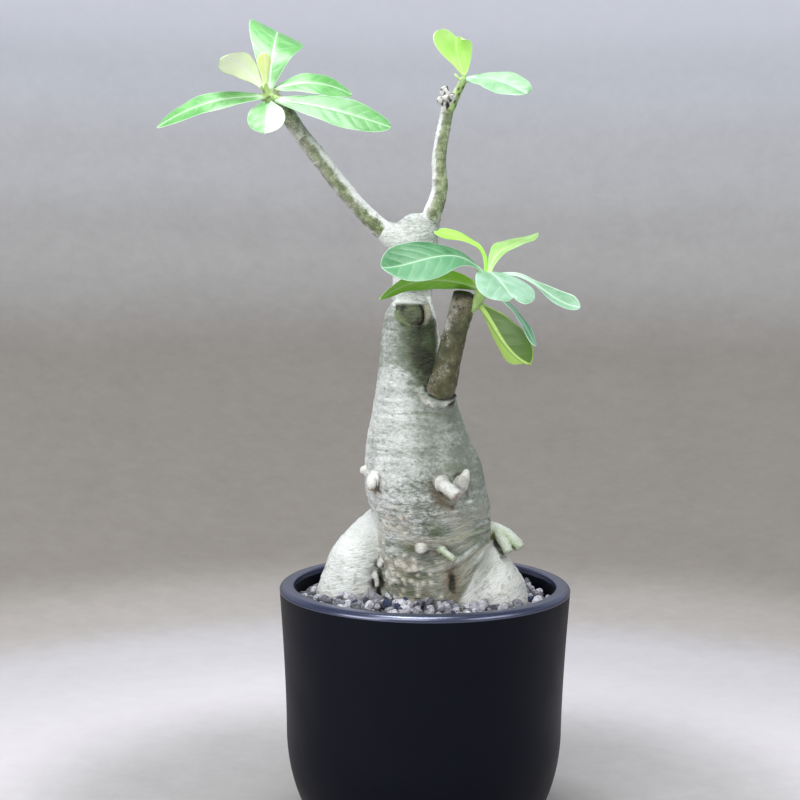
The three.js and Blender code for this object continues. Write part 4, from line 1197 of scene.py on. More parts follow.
def tube(stations, sides=36, spacing=0.7, dome=(0.6, 0.6)):
    """Points of a round limb on a grid (rings, sides), their outward directions, each ring's
    distance along the axis, each side's turn about it (0 faces the front), and the rings'
    middles. Both ends are domes: rings whose radius is cos(a) and whose place beyond the end is
    dome * sin(a) radii."""
    rows = along_path(stations, spacing)
    centre, radius = rows[:, :3], rows[:, 3]
    tangent = unit(np.gradient(centre, axis=0))
    ahead = unit(np.array([0, -1.0, 0]) + tangent * tangent[:, 1:2])
    side = np.cross(tangent, ahead)
    opening, closing = DOME_BEND, DOME_BEND[::-1]
    extra = len(DOME_BEND)
    index = np.clip(np.arange(len(rows) + 2 * extra) - extra, 0, len(rows) - 1)
    shift = np.concatenate([-dome[0] * np.sin(opening), np.zeros(len(rows)),
                            dome[1] * np.sin(closing)]) * radius[index]
    scale = np.concatenate([np.cos(opening), np.ones(len(rows)), np.cos(closing)])
    turn = np.linspace(0, 2 * np.pi, sides, endpoint=False)
    out = np.cos(turn)[None, :, None] * ahead[index][:, None] \
        + np.sin(turn)[None, :, None] * side[index][:, None]
    middle = centre[index] + tangent[index] * shift[:, None]
    points = middle[:, None] + out * (radius[index] * scale)[:, None, None]
    length = np.concatenate([[0], np.cumsum(np.linalg.norm(np.diff(centre, axis=0), axis=1))])
    return points, out, length[index], turn, middle


def tube_faces(rings, sides):
    """Quads between the rings and fans at both ends, to two extra points after the grid."""
    quads = ring_faces(rings, sides)
    turn = np.arange(sides)
    following = (turn + 1) % sides
    end = (rings - 1) * sides
    start_fan = np.stack([following, turn, np.full(sides, rings * sides)], 1)
    end_fan = np.stack([end + turn, end + following, np.full(sides, rings * sides + 1)], 1)
    return [quads, start_fan, end_fan]


def stem_piece(name, limbs, detail, slot, material, *nodes, fresh=()):
    """One piece from several limbs that grow into each other. detail gives a limb's bark height
    and its shares of film, green, cork and dark from its number, points, distances along and
    turns. The limbs listed in fresh are young green growth."""
    all_points, all_faces, shares, offset = [], [], [], 0
    for which, limb in enumerate(limbs):
        points, out, length, turn, middle = tube(**limb)
        rings, sides = points.shape[:2]
        flat = points.reshape(-1, 3)
        along = np.repeat(length, sides)
        around = np.tile(turn, rings)
        height, *looks = detail(which, flat, along, around)
        flat = flat + out.reshape(-1, 3) * height[:, None]
        ends = np.stack([flat[:sides].mean(0), flat[-sides:].mean(0)])
        ends = ends + [(middle[0] - middle[1]) * 0.15, (middle[-1] - middle[-2]) * 0.15]
        all_points += [flat, ends]
        shares.append([np.concatenate([look, [look[:sides].mean(), look[-sides:].mean()]])
                       for look in looks])
        all_faces += [part + offset for part in tube_faces(rings, sides)]
        offset += len(flat) + 2
    piece = make_mesh(name, np.vstack(all_points), all_faces)
    for i, look in enumerate(("film", "green", "cork", "dark")):
        store(piece, look, np.clip(np.concatenate([share[i] for share in shares]), 0, 1))
    store(piece, "fresh", np.concatenate([np.full(len(share[0]), float(which in fresh))
                                          for which, share in enumerate(shares)]))
    finish_piece(piece, slot, material, *nodes)


def short_way(turn):
    """The same turn, from half a turn back to half a turn on."""
    return np.angle(np.exp(1j * turn))


def stem_bark(flat, along, around, seed, spacing=5.5):
    """Bark of a young stem: uneven swells, fine level rings, and oval leaf scars whose pale upper
    rims reach part of the way round. The scars climb the stem by the golden angle. Returns the
    height, the scars' rims, and the corky and dark spots."""
    generator = np.random.default_rng(seed)
    height = 0.22 * clouds(flat, 5.0, 3, seed) + 0.07 * noise(flat, 1.3, seed + 5)
    height += 0.08 * noise(np.column_stack([along, 0.8 * np.cos(around), 0.8 * np.sin(around)]),
                           [1.1, 1.5, 1.5], seed + 7)
    places = np.arange(3.0, along.max() - 1, spacing)
    places = places + generator.uniform(-1.5, 1.5, len(places))
    turns = np.cumsum(np.full(len(places), GOLDEN_ANGLE)) + generator.uniform(0, 6)
    rims, cork, dark = np.zeros((3, len(flat)))
    for place, turn in zip(places, turns):
        aside = 4.0 * short_way(around - turn)
        away = np.hypot((along - place) / 0.9, aside / 1.5)
        height += 0.4 * bell(away, 1.1) - 0.28 * bell(away, 0.45)
        cork += 0.45 * bell(away, 0.8)
        dark += 0.6 * bell(away, 0.33)
        bow = along - place - 0.9 + 0.05 * aside ** 2
        rims += bell(bow, 0.42) * np.exp(-(aside / 3.4) ** 4)
    rims = np.clip(rims, 0, 1)
    return height + 0.14 * rims, rims, cork, dark


def left_stem_detail(which, flat, along, around):
    """White along the upper side, part film and part painted highlight, an olive band in the middle
    and a pale lower side. The growing tip and the feet of its leaf stalks round it are green, with
    painted shade dark in the gaps between them."""
    height, rims, cork, dark = stem_bark(flat, along, around, 101)
    if which:
        # painted shade in the gaps between the leaf stalks
        gap_shade = patches(flat, 2.2, 113, 0.25, 0.5) * rise(flat[:, 2], 381, 378)
        return 0.2 * height, 0 * gap_shade, 0 * gap_shade, 0 * gap_shade, 0.8 * gap_shade
    tip = rise(along, 92, 95)
    upper = np.sin(around) + 0.22 * clouds(flat, 4.0, 2, 105)
    crown = rise(along, 62, 76)
    # the white upper side is partly painted highlight
    film = 0.85 * rise(upper, -0.05, 0.75) * (1 - 0.6 * crown) + 0.35 * rims
    film += 0.28 * rise(upper, -0.55, -0.9) + 0.3 * crown * patches(flat, 5, 107, -0.4, 0.6)
    green = rise(upper, -0.85, -0.35) * (0.35 + 0.5 * patches(flat, 9, 109, -0.3, 0.4))
    green += 0.5 * bell(along - 17, 8) * rise(upper, -0.8, -0.4)
    base = rise(along, 12, 5)
    film += 0.7 * base * rise(upper, -0.2, 0.3)
    cork += 0.8 * base * patches(flat, 2.5, 111, -0.3, 0.4)
    green *= (1 - base) * (1 - 0.6 * rims)
    green = np.maximum(green, 0.95 * tip)
    film -= tip
    knot = np.exp(-((along - 9.0) / 1.2) ** 2 - ((around - 0.3) / 0.35) ** 2)
    return height + 0.5 * bell(along - 8, 4), film, green, cork, np.maximum(dark, knot)


# Scars on the right stem's twig: places along it and turns.
TWIG_SCARS = [(4.4, 0.5), (6.6, -0.4), (8.6, 0.6), (10.8, -0.1), (12.6, 0.9), (7.0, 1.4), (3.2, 1.2)]


def right_stem_detail(which, flat, along, around):
    """Limb 0, the stem: white on the left, part film and part painted highlight, an olive band and a
    greyish right side. Limb 1, the twig: yellowish green with black scars. The others, dead tips:
    grey-white cork with black holes."""
    height, rims, cork, dark = stem_bark(flat, along, around, 131 + which, 4.6)
    side = np.sin(around) + 0.2 * clouds(flat, 3.5, 2, 135)
    if which == 0:
        foot = rise(along, 16, 6)
        # the white left side is partly painted highlight
        film = 0.86 * rise(side, -0.25, -0.8) + 0.22 * rise(side, 0.55, 0.85) + 0.25 * rims
        film += 0.3 * foot * patches(flat, 2.4, 137, 0.0, 0.5)
        green = rise(side, -0.5, 0.0) * 0.95
        dark = dark + 0.3 * foot * patches(flat, 2.0, 139, -0.1, 0.5)
        return height, film, green, cork, dark
    if which == 1:
        film = 0.75 * rise(side, -0.3, -0.75) + 0.15 * rims
        scars = np.zeros(len(flat))
        for place, turn in TWIG_SCARS:
            aside = 2.6 * short_way(around - turn)
            away = np.hypot((along - place) / 0.95, aside / 0.8)
            scars = np.maximum(scars, np.exp(-away ** 4))
        return height * 0.6 - 0.25 * scars, 0.6 * film, 1.0 + 0 * film, 0.05 + 0 * film, scars
    holes = patches(flat, 1.9, 141 + which, 0.25, 0.5)
    return height + 0.8 * noise(flat, 1.7, 7), 0.8 - 0.3 * holes, 0 * holes, 0.3 + 0 * holes, holes


# Black pits near the front stem's end: places along it, turns and sizes.
END_PITS = [(56.8, -0.75, 0.9), (57.6, -0.38, 0.75), (56.6, -0.15, 0.65), (57.3, 0.15, 0.6)]


def front_stem_detail(which, flat, along, around):
    """Limb 0, the stem: old brown-olive bark with pale dots, a pale yellowish left flank, a little
    painted light on its left side and painted shade on its right, a jagged dark end with a few black
    pits below it, and a knot. Limb 1, the shoot on its end, is green."""
    height, rims, cork, dark = stem_bark(flat, along, around, 151, 9.0)
    if which == 1:
        return height * 0.5, 0.1 * rims, 0 * rims, 0 * rims, 0 * rims
    z = flat[:, 2]
    side = np.sin(around)
    mottle = clouds(flat, [7, 7, 9], 3, 153)
    film = 0.13 * mottle + 0.08 * rims
    height += 0.25 * noise(flat, [2.0, 2.0, 5.0], 159)
    cork = 0.06 + 0.28 * mottle + 0.14 * rise(z, 236, 228)
    height = 1.5 * height
    # painted shade on the right side
    dark = 0.25 * rise(side, 0.2, 0.95) + 0.15 * rise(mottle, 0.1, -0.5)
    green = 0.3 * rise(z, 262, 268) * rise(side, -0.2, 0.4)
    pale = rise(side, -0.35, -0.8) * rise(z, 262, 267) * rise(z, 279, 276)
    film += 0.35 * pale
    cork += 0.2 * pale
    top = rise(z + 2.2 * noise(flat, 2.6, 161), 276.5, 279)
    cork += 0.45 * rise(z, 266, 274)
    # painted light on the left side
    film += 0.1 * rise(side, 0.1, -0.7)
    dark = np.maximum(dark, 0.95 * top)
    height -= 0.9 * top * patches(flat, 2.6, 163, -0.2, 0.5)
    for place, turn, size in END_PITS:
        away = np.hypot(along - place, 5.8 * short_way(around - turn)) / size
        dark = np.maximum(dark, 1.2 * bell(away, 1))
        height -= 0.5 * bell(away, 1)
        film += 0.12 * bell(away, 3)
    aside = short_way(around)
    knot = bell(np.hypot((along - 46) / 2.4, 5.8 * (aside + 1.0) / 2.6), 1)
    height += 0.7 * knot
    film += 0.4 * knot
    cork += 0.3 * knot
    dots, count = np.zeros(len(flat)), 46
    generator = np.random.default_rng(157)
    for place, turn, size in zip(generator.uniform(8, 56, count),
                                 generator.uniform(-1.4, 1.4, count),
                                 generator.uniform(0.22, 0.5, count)):
        dots += bell(np.hypot(along - place, 6 * (aside - turn)), size)
    film += 0.5 * np.clip(dots, 0, 1)
    height += 0.2 * np.clip(dots, 0, 1)
    return height, film, green, cork, dark


def make_crack(material):
    """The old cut's crack as a thin uneven near-black tube laid along its face: a dark piece that
    stands in for the shade inside the crack. y follows from x and z by the plane's equation."""
    facing = unit(np.array(CUT_FACING))
    rows = []
    for (x, z), radius in zip(CUT_CRACK, (0.15, 0.5, 0.6, 0.55, 0.15)):
        slant = (x - CUT_PLACE[0]) * facing[0] + (z - CUT_PLACE[2]) * facing[2]
        rows.append([x, CUT_PLACE[1] - slant / facing[1], z, radius])
    points, out = tube(rows, sides=12, spacing=0.3)[:2]
    rings, sides = points.shape[:2]
    flat = points.reshape(-1, 3)
    flat = flat + 0.18 * clouds(flat, 0.9, 2, 171)[:, None] * out.reshape(-1, 3)
    ends = np.stack([flat[:sides].mean(0), flat[-sides:].mean(0)])
    crack = make_mesh("cut_crack_shade", np.vstack([flat, ends]), tube_faces(rings, sides))
    finish_piece(crack, "bark", material)


# --- leaves
BLADE_ROWS, BLADE_COLUMNS = 72, 33
VEIN_SPACING = 7.2
THICKNESS, RIB_DEPTH, GROOVE_DEPTH = 0.36, 0.75, 0.34


def leaf_blade(name, slot, base, tip, face, width, bow, sway=(0, 0), cup=0.0, twist=0.0,
               wide=0.6, full=0.6, end=1.0, notch=0.0, corner=0.0, fold=0.0, skew=0.0, ripple=0.35,
               seed=0):
    """A closed blade. Its midrib is a cubic Bezier curve from base to tip whose inner points lie a
    third and two thirds along, moved by bow along face and by sway sideways. Across it, at share
    t along and u from -1 to 1, the blade reaches u times the half width
    hypot(width/2 * sin(pi * (end * t)^p)^full, stalk * sqrt(1 - t)), with p = log(1/2) / log(wide),
    so that a whole one is widest at share wide; an end below 1 leaves the tip cut off. cup lifts both
    margins by u squared, fold by |u|, and ripple waves them. twist turns the blade by degrees
    towards the tip, notch holds the midrib back at a cut tip and corner its corners, and skew lets
    one half reach past the other."""
    generator = np.random.default_rng(seed)
    base, tip, face = (np.array(v, float) for v in (base, tip, face))
    chord = tip - base
    length = np.linalg.norm(chord)
    forward = chord / length
    up = unit(face - (face @ forward) * forward)
    across = np.cross(forward, up)
    inner = [base + chord * share + bow[i] * up + sway[i] * across
             for i, share in enumerate((1 / 3, 2 / 3))]
    even = np.linspace(0, 1, BLADE_ROWS)
    t = (0.45 * even + 0.55 * (1 - np.cos(np.pi * even)) / 2)[:, None]
    spine = (1 - t) ** 3 * base + 3 * (1 - t) ** 2 * t * inner[0] \
        + 3 * (1 - t) * t ** 2 * inner[1] + t ** 3 * tip
    tangent = unit(3 * (1 - t) ** 2 * (inner[0] - base) + 6 * (1 - t) * t * (inner[1] - inner[0])
                   + 3 * t ** 2 * (tip - inner[1]))
    normal = unit(up - (tangent @ up)[:, None] * tangent)
    side = np.cross(tangent, normal)
    stretch = np.log(0.5) / np.log(wide)
    stalk = min(1.35, width / 6)
    inside = np.clip(end * t, 1e-6, 1 - 1e-6)
    half = np.hypot(width / 2 * np.sin(np.pi * inside ** stretch) ** full, stalk * np.sqrt(1 - t))
    half = np.maximum(half, 0.35)
    even = np.linspace(-1, 1, BLADE_COLUMNS)
    u_top = np.sin(even * np.pi / 2) * 0.55 + even * 0.45
    u = np.concatenate([u_top, u_top[-2:0:-1]])[None, :]
    is_top = np.concatenate([np.ones(BLADE_COLUMNS), -np.ones(BLADE_COLUMNS - 2)])[None, :]
    is_top[0, [0, BLADE_COLUMNS - 1]] = 0
    # thickness: a round stalk that thins into the blade, a rib below and a groove above
    away = np.abs(u) * half
    stalky = rise(t, 0.16, 0.0)
    thick = THICKNESS * (1 - np.abs(u) ** 6) * (1 - 0.45 * t) + stalky * stalk * 0.8 \
        * np.sqrt(np.clip(1 - u ** 2, 0, 1))
    rib = bell(away, 1.0) * (1 - 0.8 * t) * (1 - stalky)
    depth = np.where(is_top > 0, thick - GROOVE_DEPTH * rib, thick + RIB_DEPTH * rib) \
        * np.sign(is_top)
    # side veins: swellings between them, and gentle ripples of the margins
    place = t * length
    offset = 0.22 * np.tanh(u * half / 0.8)
    vein = (place - 0.52 * away - 0.035 * away ** 2 + 3.0) / VEIN_SPACING + offset
    in_blade = rise(half * (1 - np.abs(u)), 0.4, 3.0) * rise(away, 0.3, 2.2)
    pucker = -0.05 * np.cos(2 * np.pi * vein) * in_blade
    phases = generator.uniform(0, 2 * np.pi, 4)
    edge = np.abs(u) ** 3
    waves = ripple * edge * rise(t, 0.1, 0.4) * np.where(
        u > 0, np.sin(t * 9.0 + phases[0]) + 0.6 * np.sin(t * 21 + phases[1]),
        np.sin(t * 8.0 + phases[2]) + 0.6 * np.sin(t * 19 + phases[3]))
    lift = half * (cup * u * u + fold * np.abs(u)) + pucker + waves + depth
    turn = np.radians(twist) * t
    held = notch * (1 - np.abs(u)) ** 2 + corner * u ** 4
    back = held * np.clip((t - 0.55) / 0.45, 0, 1) ** 2 + skew * u * t * t
    out = u * half
    points = spine[:, None] - back[..., None] * tangent[:, None] \
        + (out * np.cos(turn) - lift * np.sin(turn))[..., None] * side[:, None] \
        + (out * np.sin(turn) + lift * np.cos(turn))[..., None] * normal[:, None]
    sides = u.shape[1]
    flat = points.reshape(-1, 3)
    quads = ring_faces(BLADE_ROWS, sides)
    # both ends are closed between the upper and the lower row of points
    top = np.arange(BLADE_COLUMNS)
    low = np.concatenate([[0], np.arange(sides - 1, BLADE_COLUMNS - 1, -1), [BLADE_COLUMNS - 1]])
    cap = np.stack([top[:-1], top[1:], low[1:], low[:-1]], 1)
    start_cap = cap[1:-1, ::-1]
    end_cap = cap[1:-1] + (BLADE_ROWS - 1) * sides
    margins = np.array([[top[0], top[1], low[1]], [top[-2], top[-1], low[-2]]])
    corners = np.vstack([margins[:, ::-1], margins + (BLADE_ROWS - 1) * sides])
    piece = make_mesh(name + "_blade", flat, [quads, start_cap, end_cap, corners])
    grid = np.ones_like(points[..., 0])
    store(piece, "rib", (away / (1 - 0.5 * t) * grid).ravel())
    store(piece, "half", (u * half * grid).ravel())
    store(piece, "vein", (vein * grid + 20).ravel())
    margin = np.minimum(half * (1 - np.abs(u)), (1 - t) * length * 1.2 + 0.4 * (1 - np.abs(u)))
    store(piece, "margin", (margin * grid).ravel())
    store(piece, "under", (np.where(is_top < 0, 1.0, 0.0) * grid).ravel())
    store(piece, "stalk", (rise(t, 0.14, 0.02) * grid).ravel())
    finish_piece(piece, slot, LEAF_LOOKS[LEAF_OWN.get(name, slot.removeprefix("leaf_"))], name)


# --- pot, bed and gravel
POT_WALL = 7.6
POT_FLOOR = 9.0
FLOOR_FILLET = 9.0
RIM_BAND = 3.1
POT_FOOT_RADIUS = 52.0
BELLY_HEIGHT, BELLY_RADIUS = 55.0, 71.2
BOTTOM_FULLNESS = 10.0
FOOT_ROUND = 1.5
RIM_OUTER_ROUND, RIM_INNER_ROUND = 3.0, 1.0
POT_SIDES = 128
DRAIN_RADIUS, DRAIN_CIRCLE, DRAIN_HOLES = 4.0, 27.0, 4
GRAVEL_AT_WALL, GRAVEL_AT_TRUNK, HEAP_RADIUS = 121.0, 123.2, 44.0
BED_BOTTOM, BED_TOP, BED_BELOW_STONES = 111.0, 120.0, 2.6


def pot_radius(height):
    """Outer radius: below the belly a quarter ellipse, above it a wall that flares by the 1.5th
    power of the height."""
    flare = np.clip((height - BELLY_HEIGHT) / (POT_HEIGHT - BELLY_HEIGHT), 0, 1)
    upper = BELLY_RADIUS + (POT_RIM_RADIUS - BELLY_RADIUS) * flare ** 1.5
    tall = BELLY_HEIGHT + BOTTOM_FULLNESS
    foot_share = np.sqrt(1 - (BELLY_HEIGHT / tall) ** 2)
    wide = (BELLY_RADIUS - POT_FOOT_RADIUS) / (1 - foot_share)
    drop = np.clip((BELLY_HEIGHT - height) / tall, 0, 1)
    lower = BELLY_RADIUS - wide * (1 - np.sqrt(1 - drop ** 2))
    return np.where(height >= BELLY_HEIGHT, upper, lower)


def arc(centre, radius, start, end):
    """Seven points of a circle arc from start to end degrees."""
    turn = np.radians(np.linspace(start, end, 7))
    return np.column_stack([centre[0] + radius * np.cos(turn), centre[1] + radius * np.sin(turn)])


def turned(profile, sides):
    """Points and faces of a body of revolution about the pot's axis, from a profile of radius and
    height that starts and ends on the axis, listed so that it faces out."""
    turn = np.linspace(0, 2 * np.pi, sides, endpoint=False)
    inner = profile[1:-1]
    points = np.stack([inner[:, 0, None] * np.cos(turn), inner[:, 0, None] * np.sin(turn),
                       inner[:, 1, None] + 0 * turn], -1).reshape(-1, 3)
    poles = np.array([[0, 0, profile[0, 1]], [0, 0, profile[-1, 1]]])
    return np.vstack([points, poles]), tube_faces(len(inner), sides)


def pot_profile():
    """Radius and height all round the pot's wall: up its outside, over the rim, and down its
    inside, where a quarter circle leads into the floor."""
    heights = np.concatenate([np.linspace(FOOT_ROUND, BELLY_HEIGHT, 30),
                              np.linspace(BELLY_HEIGHT, POT_HEIGHT - RIM_OUTER_ROUND, 20)[1:]])
    outer = np.column_stack([pot_radius(heights), heights])
    foot = arc([POT_FOOT_RADIUS - FOOT_ROUND + 0.35, FOOT_ROUND], FOOT_ROUND, -90, -15)
    rim_outer = arc([POT_RIM_RADIUS - RIM_OUTER_ROUND, POT_HEIGHT - RIM_OUTER_ROUND],
                    RIM_OUTER_ROUND, 5, 90)
    rim_inner = arc([POT_RIM_RADIUS - POT_WALL + RIM_INNER_ROUND, POT_HEIGHT - RIM_INNER_ROUND],
                    RIM_INNER_ROUND, 90, 175)
    heights = np.linspace(POT_HEIGHT - 3, POT_FLOOR + FLOOR_FILLET, 30)
    inner = np.column_stack([pot_radius(heights) - POT_WALL, heights])
    bend = np.radians(np.linspace(10, 90, 9))
    fillet = inner[-1] - FLOOR_FILLET * np.column_stack([1 - np.cos(bend), np.sin(bend)])
    return np.vstack([[0, 0], [20, 0], [40, 0], foot, outer[1:], rim_outer[1:], rim_inner,
                      inner, fillet, [35, POT_FLOOR], [15, POT_FLOOR], [0, POT_FLOOR]])


def drill(pot, turn):
    """Cuts one drain hole through the pot's floor."""
    pin_profile = np.array([[0, -5], [DRAIN_RADIUS, -5], [DRAIN_RADIUS, 20], [0, 20]])
    points, faces = turned(pin_profile, 32)
    points = points + [DRAIN_CIRCLE * np.cos(turn), DRAIN_CIRCLE * np.sin(turn), 0]
    pin = make_mesh("drain_pin", points, faces)
    cut = pot.modifiers.new("drain", "BOOLEAN")
    cut.operation, cut.object, cut.solver = "DIFFERENCE", pin, "EXACT"
    graph = bpy.context.evaluated_depsgraph_get()
    drilled = bpy.data.meshes.new_from_object(pot.evaluated_get(graph), depsgraph=graph)
    pot.modifiers.clear()
    pot.data = drilled
    bpy.data.objects.remove(pin)


def make_pot(material, rim_material):
    """The pot with its drain holes; the top of its wall has a second glaze, glossier and lighter
    and bluer than the body's: real gloss, with painted reflection in its colour.
    """
    pot = make_mesh("pot_shell", *turned(pot_profile(), POT_SIDES))
    for turn in (np.arange(DRAIN_HOLES) + 0.5) / DRAIN_HOLES * 2 * np.pi:
        drill(pot, turn)
    count = len(pot.data.polygons)
    pot.data.polygons.foreach_set("use_smooth", np.ones(count, bool))
    pot.data.set_sharp_from_angle(angle=np.radians(35))
    finish_piece(pot, "pot_black", material, "pot")
    # the rim's glaze: real gloss, with painted reflection in its lighter bluish colour
    pot.data.materials.append(rim_material)
    middles = np.empty(3 * count)
    pot.data.polygons.foreach_get("center", middles)
    is_rim = middles[2::3] / MM > POT_HEIGHT - RIM_BAND
    pot.data.polygons.foreach_set("material_index", is_rim.astype(int))


def gravel_height(x, y):
    """Height of the gravel's surface: level round the trunk, sloping down to the wall, a little
    higher in the corner between the left root and the column."""
    away = np.hypot(x, y)
    slope = GRAVEL_AT_TRUNK + (GRAVEL_AT_WALL - GRAVEL_AT_TRUNK) \
        * rise(away, HEAP_RADIUS, POT_RIM_RADIUS - POT_WALL)
    return slope + 2.2 * np.exp(-((x + 27) / 9) ** 2 - ((y - 2) / 12) ** 2)


def make_bed(material):
    """The grit under the stones: a round slab with an uneven top, near-black as painted shade."""
    wall = pot_radius((BED_BOTTOM + GRAVEL_AT_WALL) / 2) - POT_WALL - 0.35
    radii = np.linspace(wall, 6, 24)
    top = np.column_stack([radii, np.full(len(radii), BED_TOP)])
    profile = np.vstack([[0, BED_BOTTOM], [30, BED_BOTTOM], [wall - 0.3, BED_BOTTOM], top,
                         [0, BED_TOP]])
    points, faces = turned(profile, 96)
    x, y, z = points.T
    level = gravel_height(x, y) - BED_BELOW_STONES + 0.8 * noise(points, 5.0, 91)
    points[:, 2] = np.where(z > (BED_BOTTOM + BED_TOP) / 2, level, z)
    bed = make_mesh("gravel_bed", points, faces)
    finish_piece(bed, "gravel", material, "gravel_top")


def round_ball():
    """42 points and 80 triangles of a ball: an icosahedron, each face split in four."""
    ball = bmesh.new()
    bmesh.ops.create_icosphere(ball, subdivisions=2, radius=1.0)
    points = np.array([v.co[:] for v in ball.verts])
    faces = np.array([[v.index for v in face.verts] for face in ball.faces])
    ball.free()
    return unit(points), faces


def random_turns(generator, count):
    """Rotation matrices evenly spread over all turns, from unit quaternions."""
    w, x, y, z = unit(generator.normal(size=(count, 4))).T
    return np.stack([
        np.stack([1 - 2 * (y * y + z * z), 2 * (x * y - z * w), 2 * (x * z + y * w)], -1),
        np.stack([2 * (x * y + z * w), 1 - 2 * (x * x + z * z), 2 * (y * z - x * w)], -1),
        np.stack([2 * (x * z - y * w), 2 * (y * z + x * w), 1 - 2 * (x * x + y * y)], -1)], 1)


# The stones: spacing of the grid that they are scattered about, how far they stray from it, and
# for each layer how far it lies above the gravel's level and what share of its stones is kept.
STONE_SPACING, STONE_STRAY = 4.9, 1.7
STONE_LAYERS = [(-2.2, 1.0), (0.4, 0.72), (2.1, 0.28)]
STONE_PLANES = 12


def scatter_stones(generator, body):
    """Rows x, y, z, size and the layer's height: in each layer one stone strays about each point
    of a staggered grid, where the wall and the woody body leave room."""
    columns = np.arange(-15, 16)
    gx, gy = np.meshgrid(columns * STONE_SPACING, columns * STONE_SPACING * 0.88, indexing="ij")
    gx = gx + (np.arange(len(columns)) % 2)[None, :] * STONE_SPACING / 2
    spread = []
    for layer, (lift, keep) in enumerate(STONE_LAYERS):
        x = gx.ravel() + generator.uniform(-STONE_STRAY, STONE_STRAY, gx.size)
        y = gy.ravel() + generator.uniform(-STONE_STRAY, STONE_STRAY, gx.size)
        z = gravel_height(x, y) + lift + generator.uniform(-0.6, 0.6, gx.size)
        size = generator.uniform(1.9, 3.4, gx.size) * (1.0 if layer < 2 else 0.9)
        inside = np.hypot(x, y) + size < pot_radius(z) - POT_WALL - 0.3
        kept = inside & (generator.uniform(size=gx.size) < keep)
        spots = np.column_stack([x, y, z])
        clear = body.at(spots)[0] > 0.45 * size
        spread.append(np.column_stack([spots, size, np.full(gx.size, lift)])[kept & clear])
    return np.vstack(spread)


def make_gravel(material, body):
    """Angular stones. Each one is a ball whose radius in a direction d is the least of h / (d . n)
    over a dozen random planes at distance h with normals n, held to 1.12, roughened, stretched
    and turned. Deep stones are darker, as painted shade under the stones above them."""
    generator = np.random.default_rng(19)
    ball, ball_faces = round_ball()
    spread = scatter_stones(generator, body)
    count = len(spread)
    planes = unit(generator.normal(size=(count, STONE_PLANES, 3)))
    offsets = generator.uniform(0.62, 1.0, (count, STONE_PLANES))
    facing = np.einsum("vk,npk->nvp", ball, planes)
    radius = np.min(np.where(facing > 0.25, offsets[:, None] / np.maximum(facing, 0.25), 9), 2)
    radius = np.minimum(radius, 1.12) * (1 + 0.06 * generator.normal(size=radius.shape))
    shape = ball[None] * radius[..., None]
    shape = shape * generator.uniform([0.8, 0.8, 0.65], [1.25, 1.1, 0.95], (count, 3))[:, None]
    shape = np.einsum("nvk,njk->nvj", shape, random_turns(generator, count))
    points = spread[:, None, :3] + shape * spread[:, None, 3:4]
    faces = ball_faces[None] + (np.arange(count) * len(ball))[:, None, None]
    stones = make_mesh("gravel_stones", points.reshape(-1, 3), [faces.reshape(-1, 3)], False)
    # painted shade on the deep stones
    shade = np.where(spread[:, 4] < 0, 0.35, 1.0)
    tone = generator.uniform(0.0, 1.0, count) ** 1.1 * shade
    store(stones, "tone", np.repeat(tone, len(ball)))
    finish_piece(stones, "gravel", material)


# --- stage
SWEEP_FLAT, SWEEP_WALL, SWEEP_HEIGHT = 400.0, 1350.0, 1300.0
SWEEP_START, SWEEP_LEVEL = 20.0, -0.4
SWEEP_SIDES = 128
SWEEP_LENGTH = 2500.0
# Share of SWEEP_LENGTH from the paper's middle, and its colour there: the paper's own tone with
# painted light and shade, darker round the pot, lightest a little way out, darkest where the
# paper starts to curve up and lighter again higher up.
SWEEP_TONES = [(0.02, (0.38, 0.37, 0.36)), (0.066, (0.43, 0.42, 0.42)), (0.113, (0.69, 0.665, 0.69)),
               (0.157, (0.62, 0.605, 0.63)), (0.201, (0.465, 0.435, 0.41)), (0.25, (0.302, 0.279, 0.252)),
               (0.39, (0.312, 0.29, 0.266)), (0.468, (0.455, 0.45, 0.445)), (0.517, (0.56, 0.56, 0.58)),
               (0.564, (0.65, 0.67, 0.72)), (0.61, (0.8, 0.82, 0.9))]


def make_stage():
    """A paper sweep: flat under the pot, then a quarter circle up to a wall on all sides. Past its
    flat part it reaches 1.6 times as far at the plant's sides and in front as behind it."""
    bend = np.radians(np.linspace(0, 90, 60))
    climb = SWEEP_WALL - SWEEP_FLAT
    curve = np.column_stack([SWEEP_FLAT + climb * np.sin(bend),
                             SWEEP_LEVEL + climb * (1 - np.cos(bend))])
    flat = np.column_stack([np.linspace(SWEEP_START, SWEEP_FLAT, 20)[:-1], np.full(19, SWEEP_LEVEL)])
    profile = np.vstack([flat, curve, [SWEEP_WALL, SWEEP_HEIGHT]])
    turn = np.linspace(0, 2 * np.pi, SWEEP_SIDES, endpoint=False)
    radius = profile[:, 0, None]
    reach = np.where(radius > SWEEP_FLAT, 1 + 0.6 * rise(np.sin(turn), 0.75, 0.2), 1)
    away = SWEEP_FLAT + (radius - SWEEP_FLAT) * reach
    points = np.stack([away * np.cos(turn), away * np.sin(turn),
                       profile[:, 1, None] + 0 * turn], -1).reshape(-1, 3)
    points = np.vstack([points, [[0, 0, SWEEP_LEVEL]]])
    quads = ring_faces(len(profile), SWEEP_SIDES)[:, ::-1]
    column = np.arange(SWEEP_SIDES)
    fan = np.stack([column, (column + 1) % SWEEP_SIDES, np.full(SWEEP_SIDES, len(points) - 1)], 1)
    sweep = make_mesh("paper_sweep", points, [quads, fan])
    steps = np.linalg.norm(np.diff(profile, axis=0), axis=1)
    along = (SWEEP_START + np.concatenate([[0], np.cumsum(steps)])) / SWEEP_LENGTH
    store(sweep, "along", np.append(np.repeat(along, SWEEP_SIDES), 0.0))
    sweep.data.materials.append(backdrop_finish())


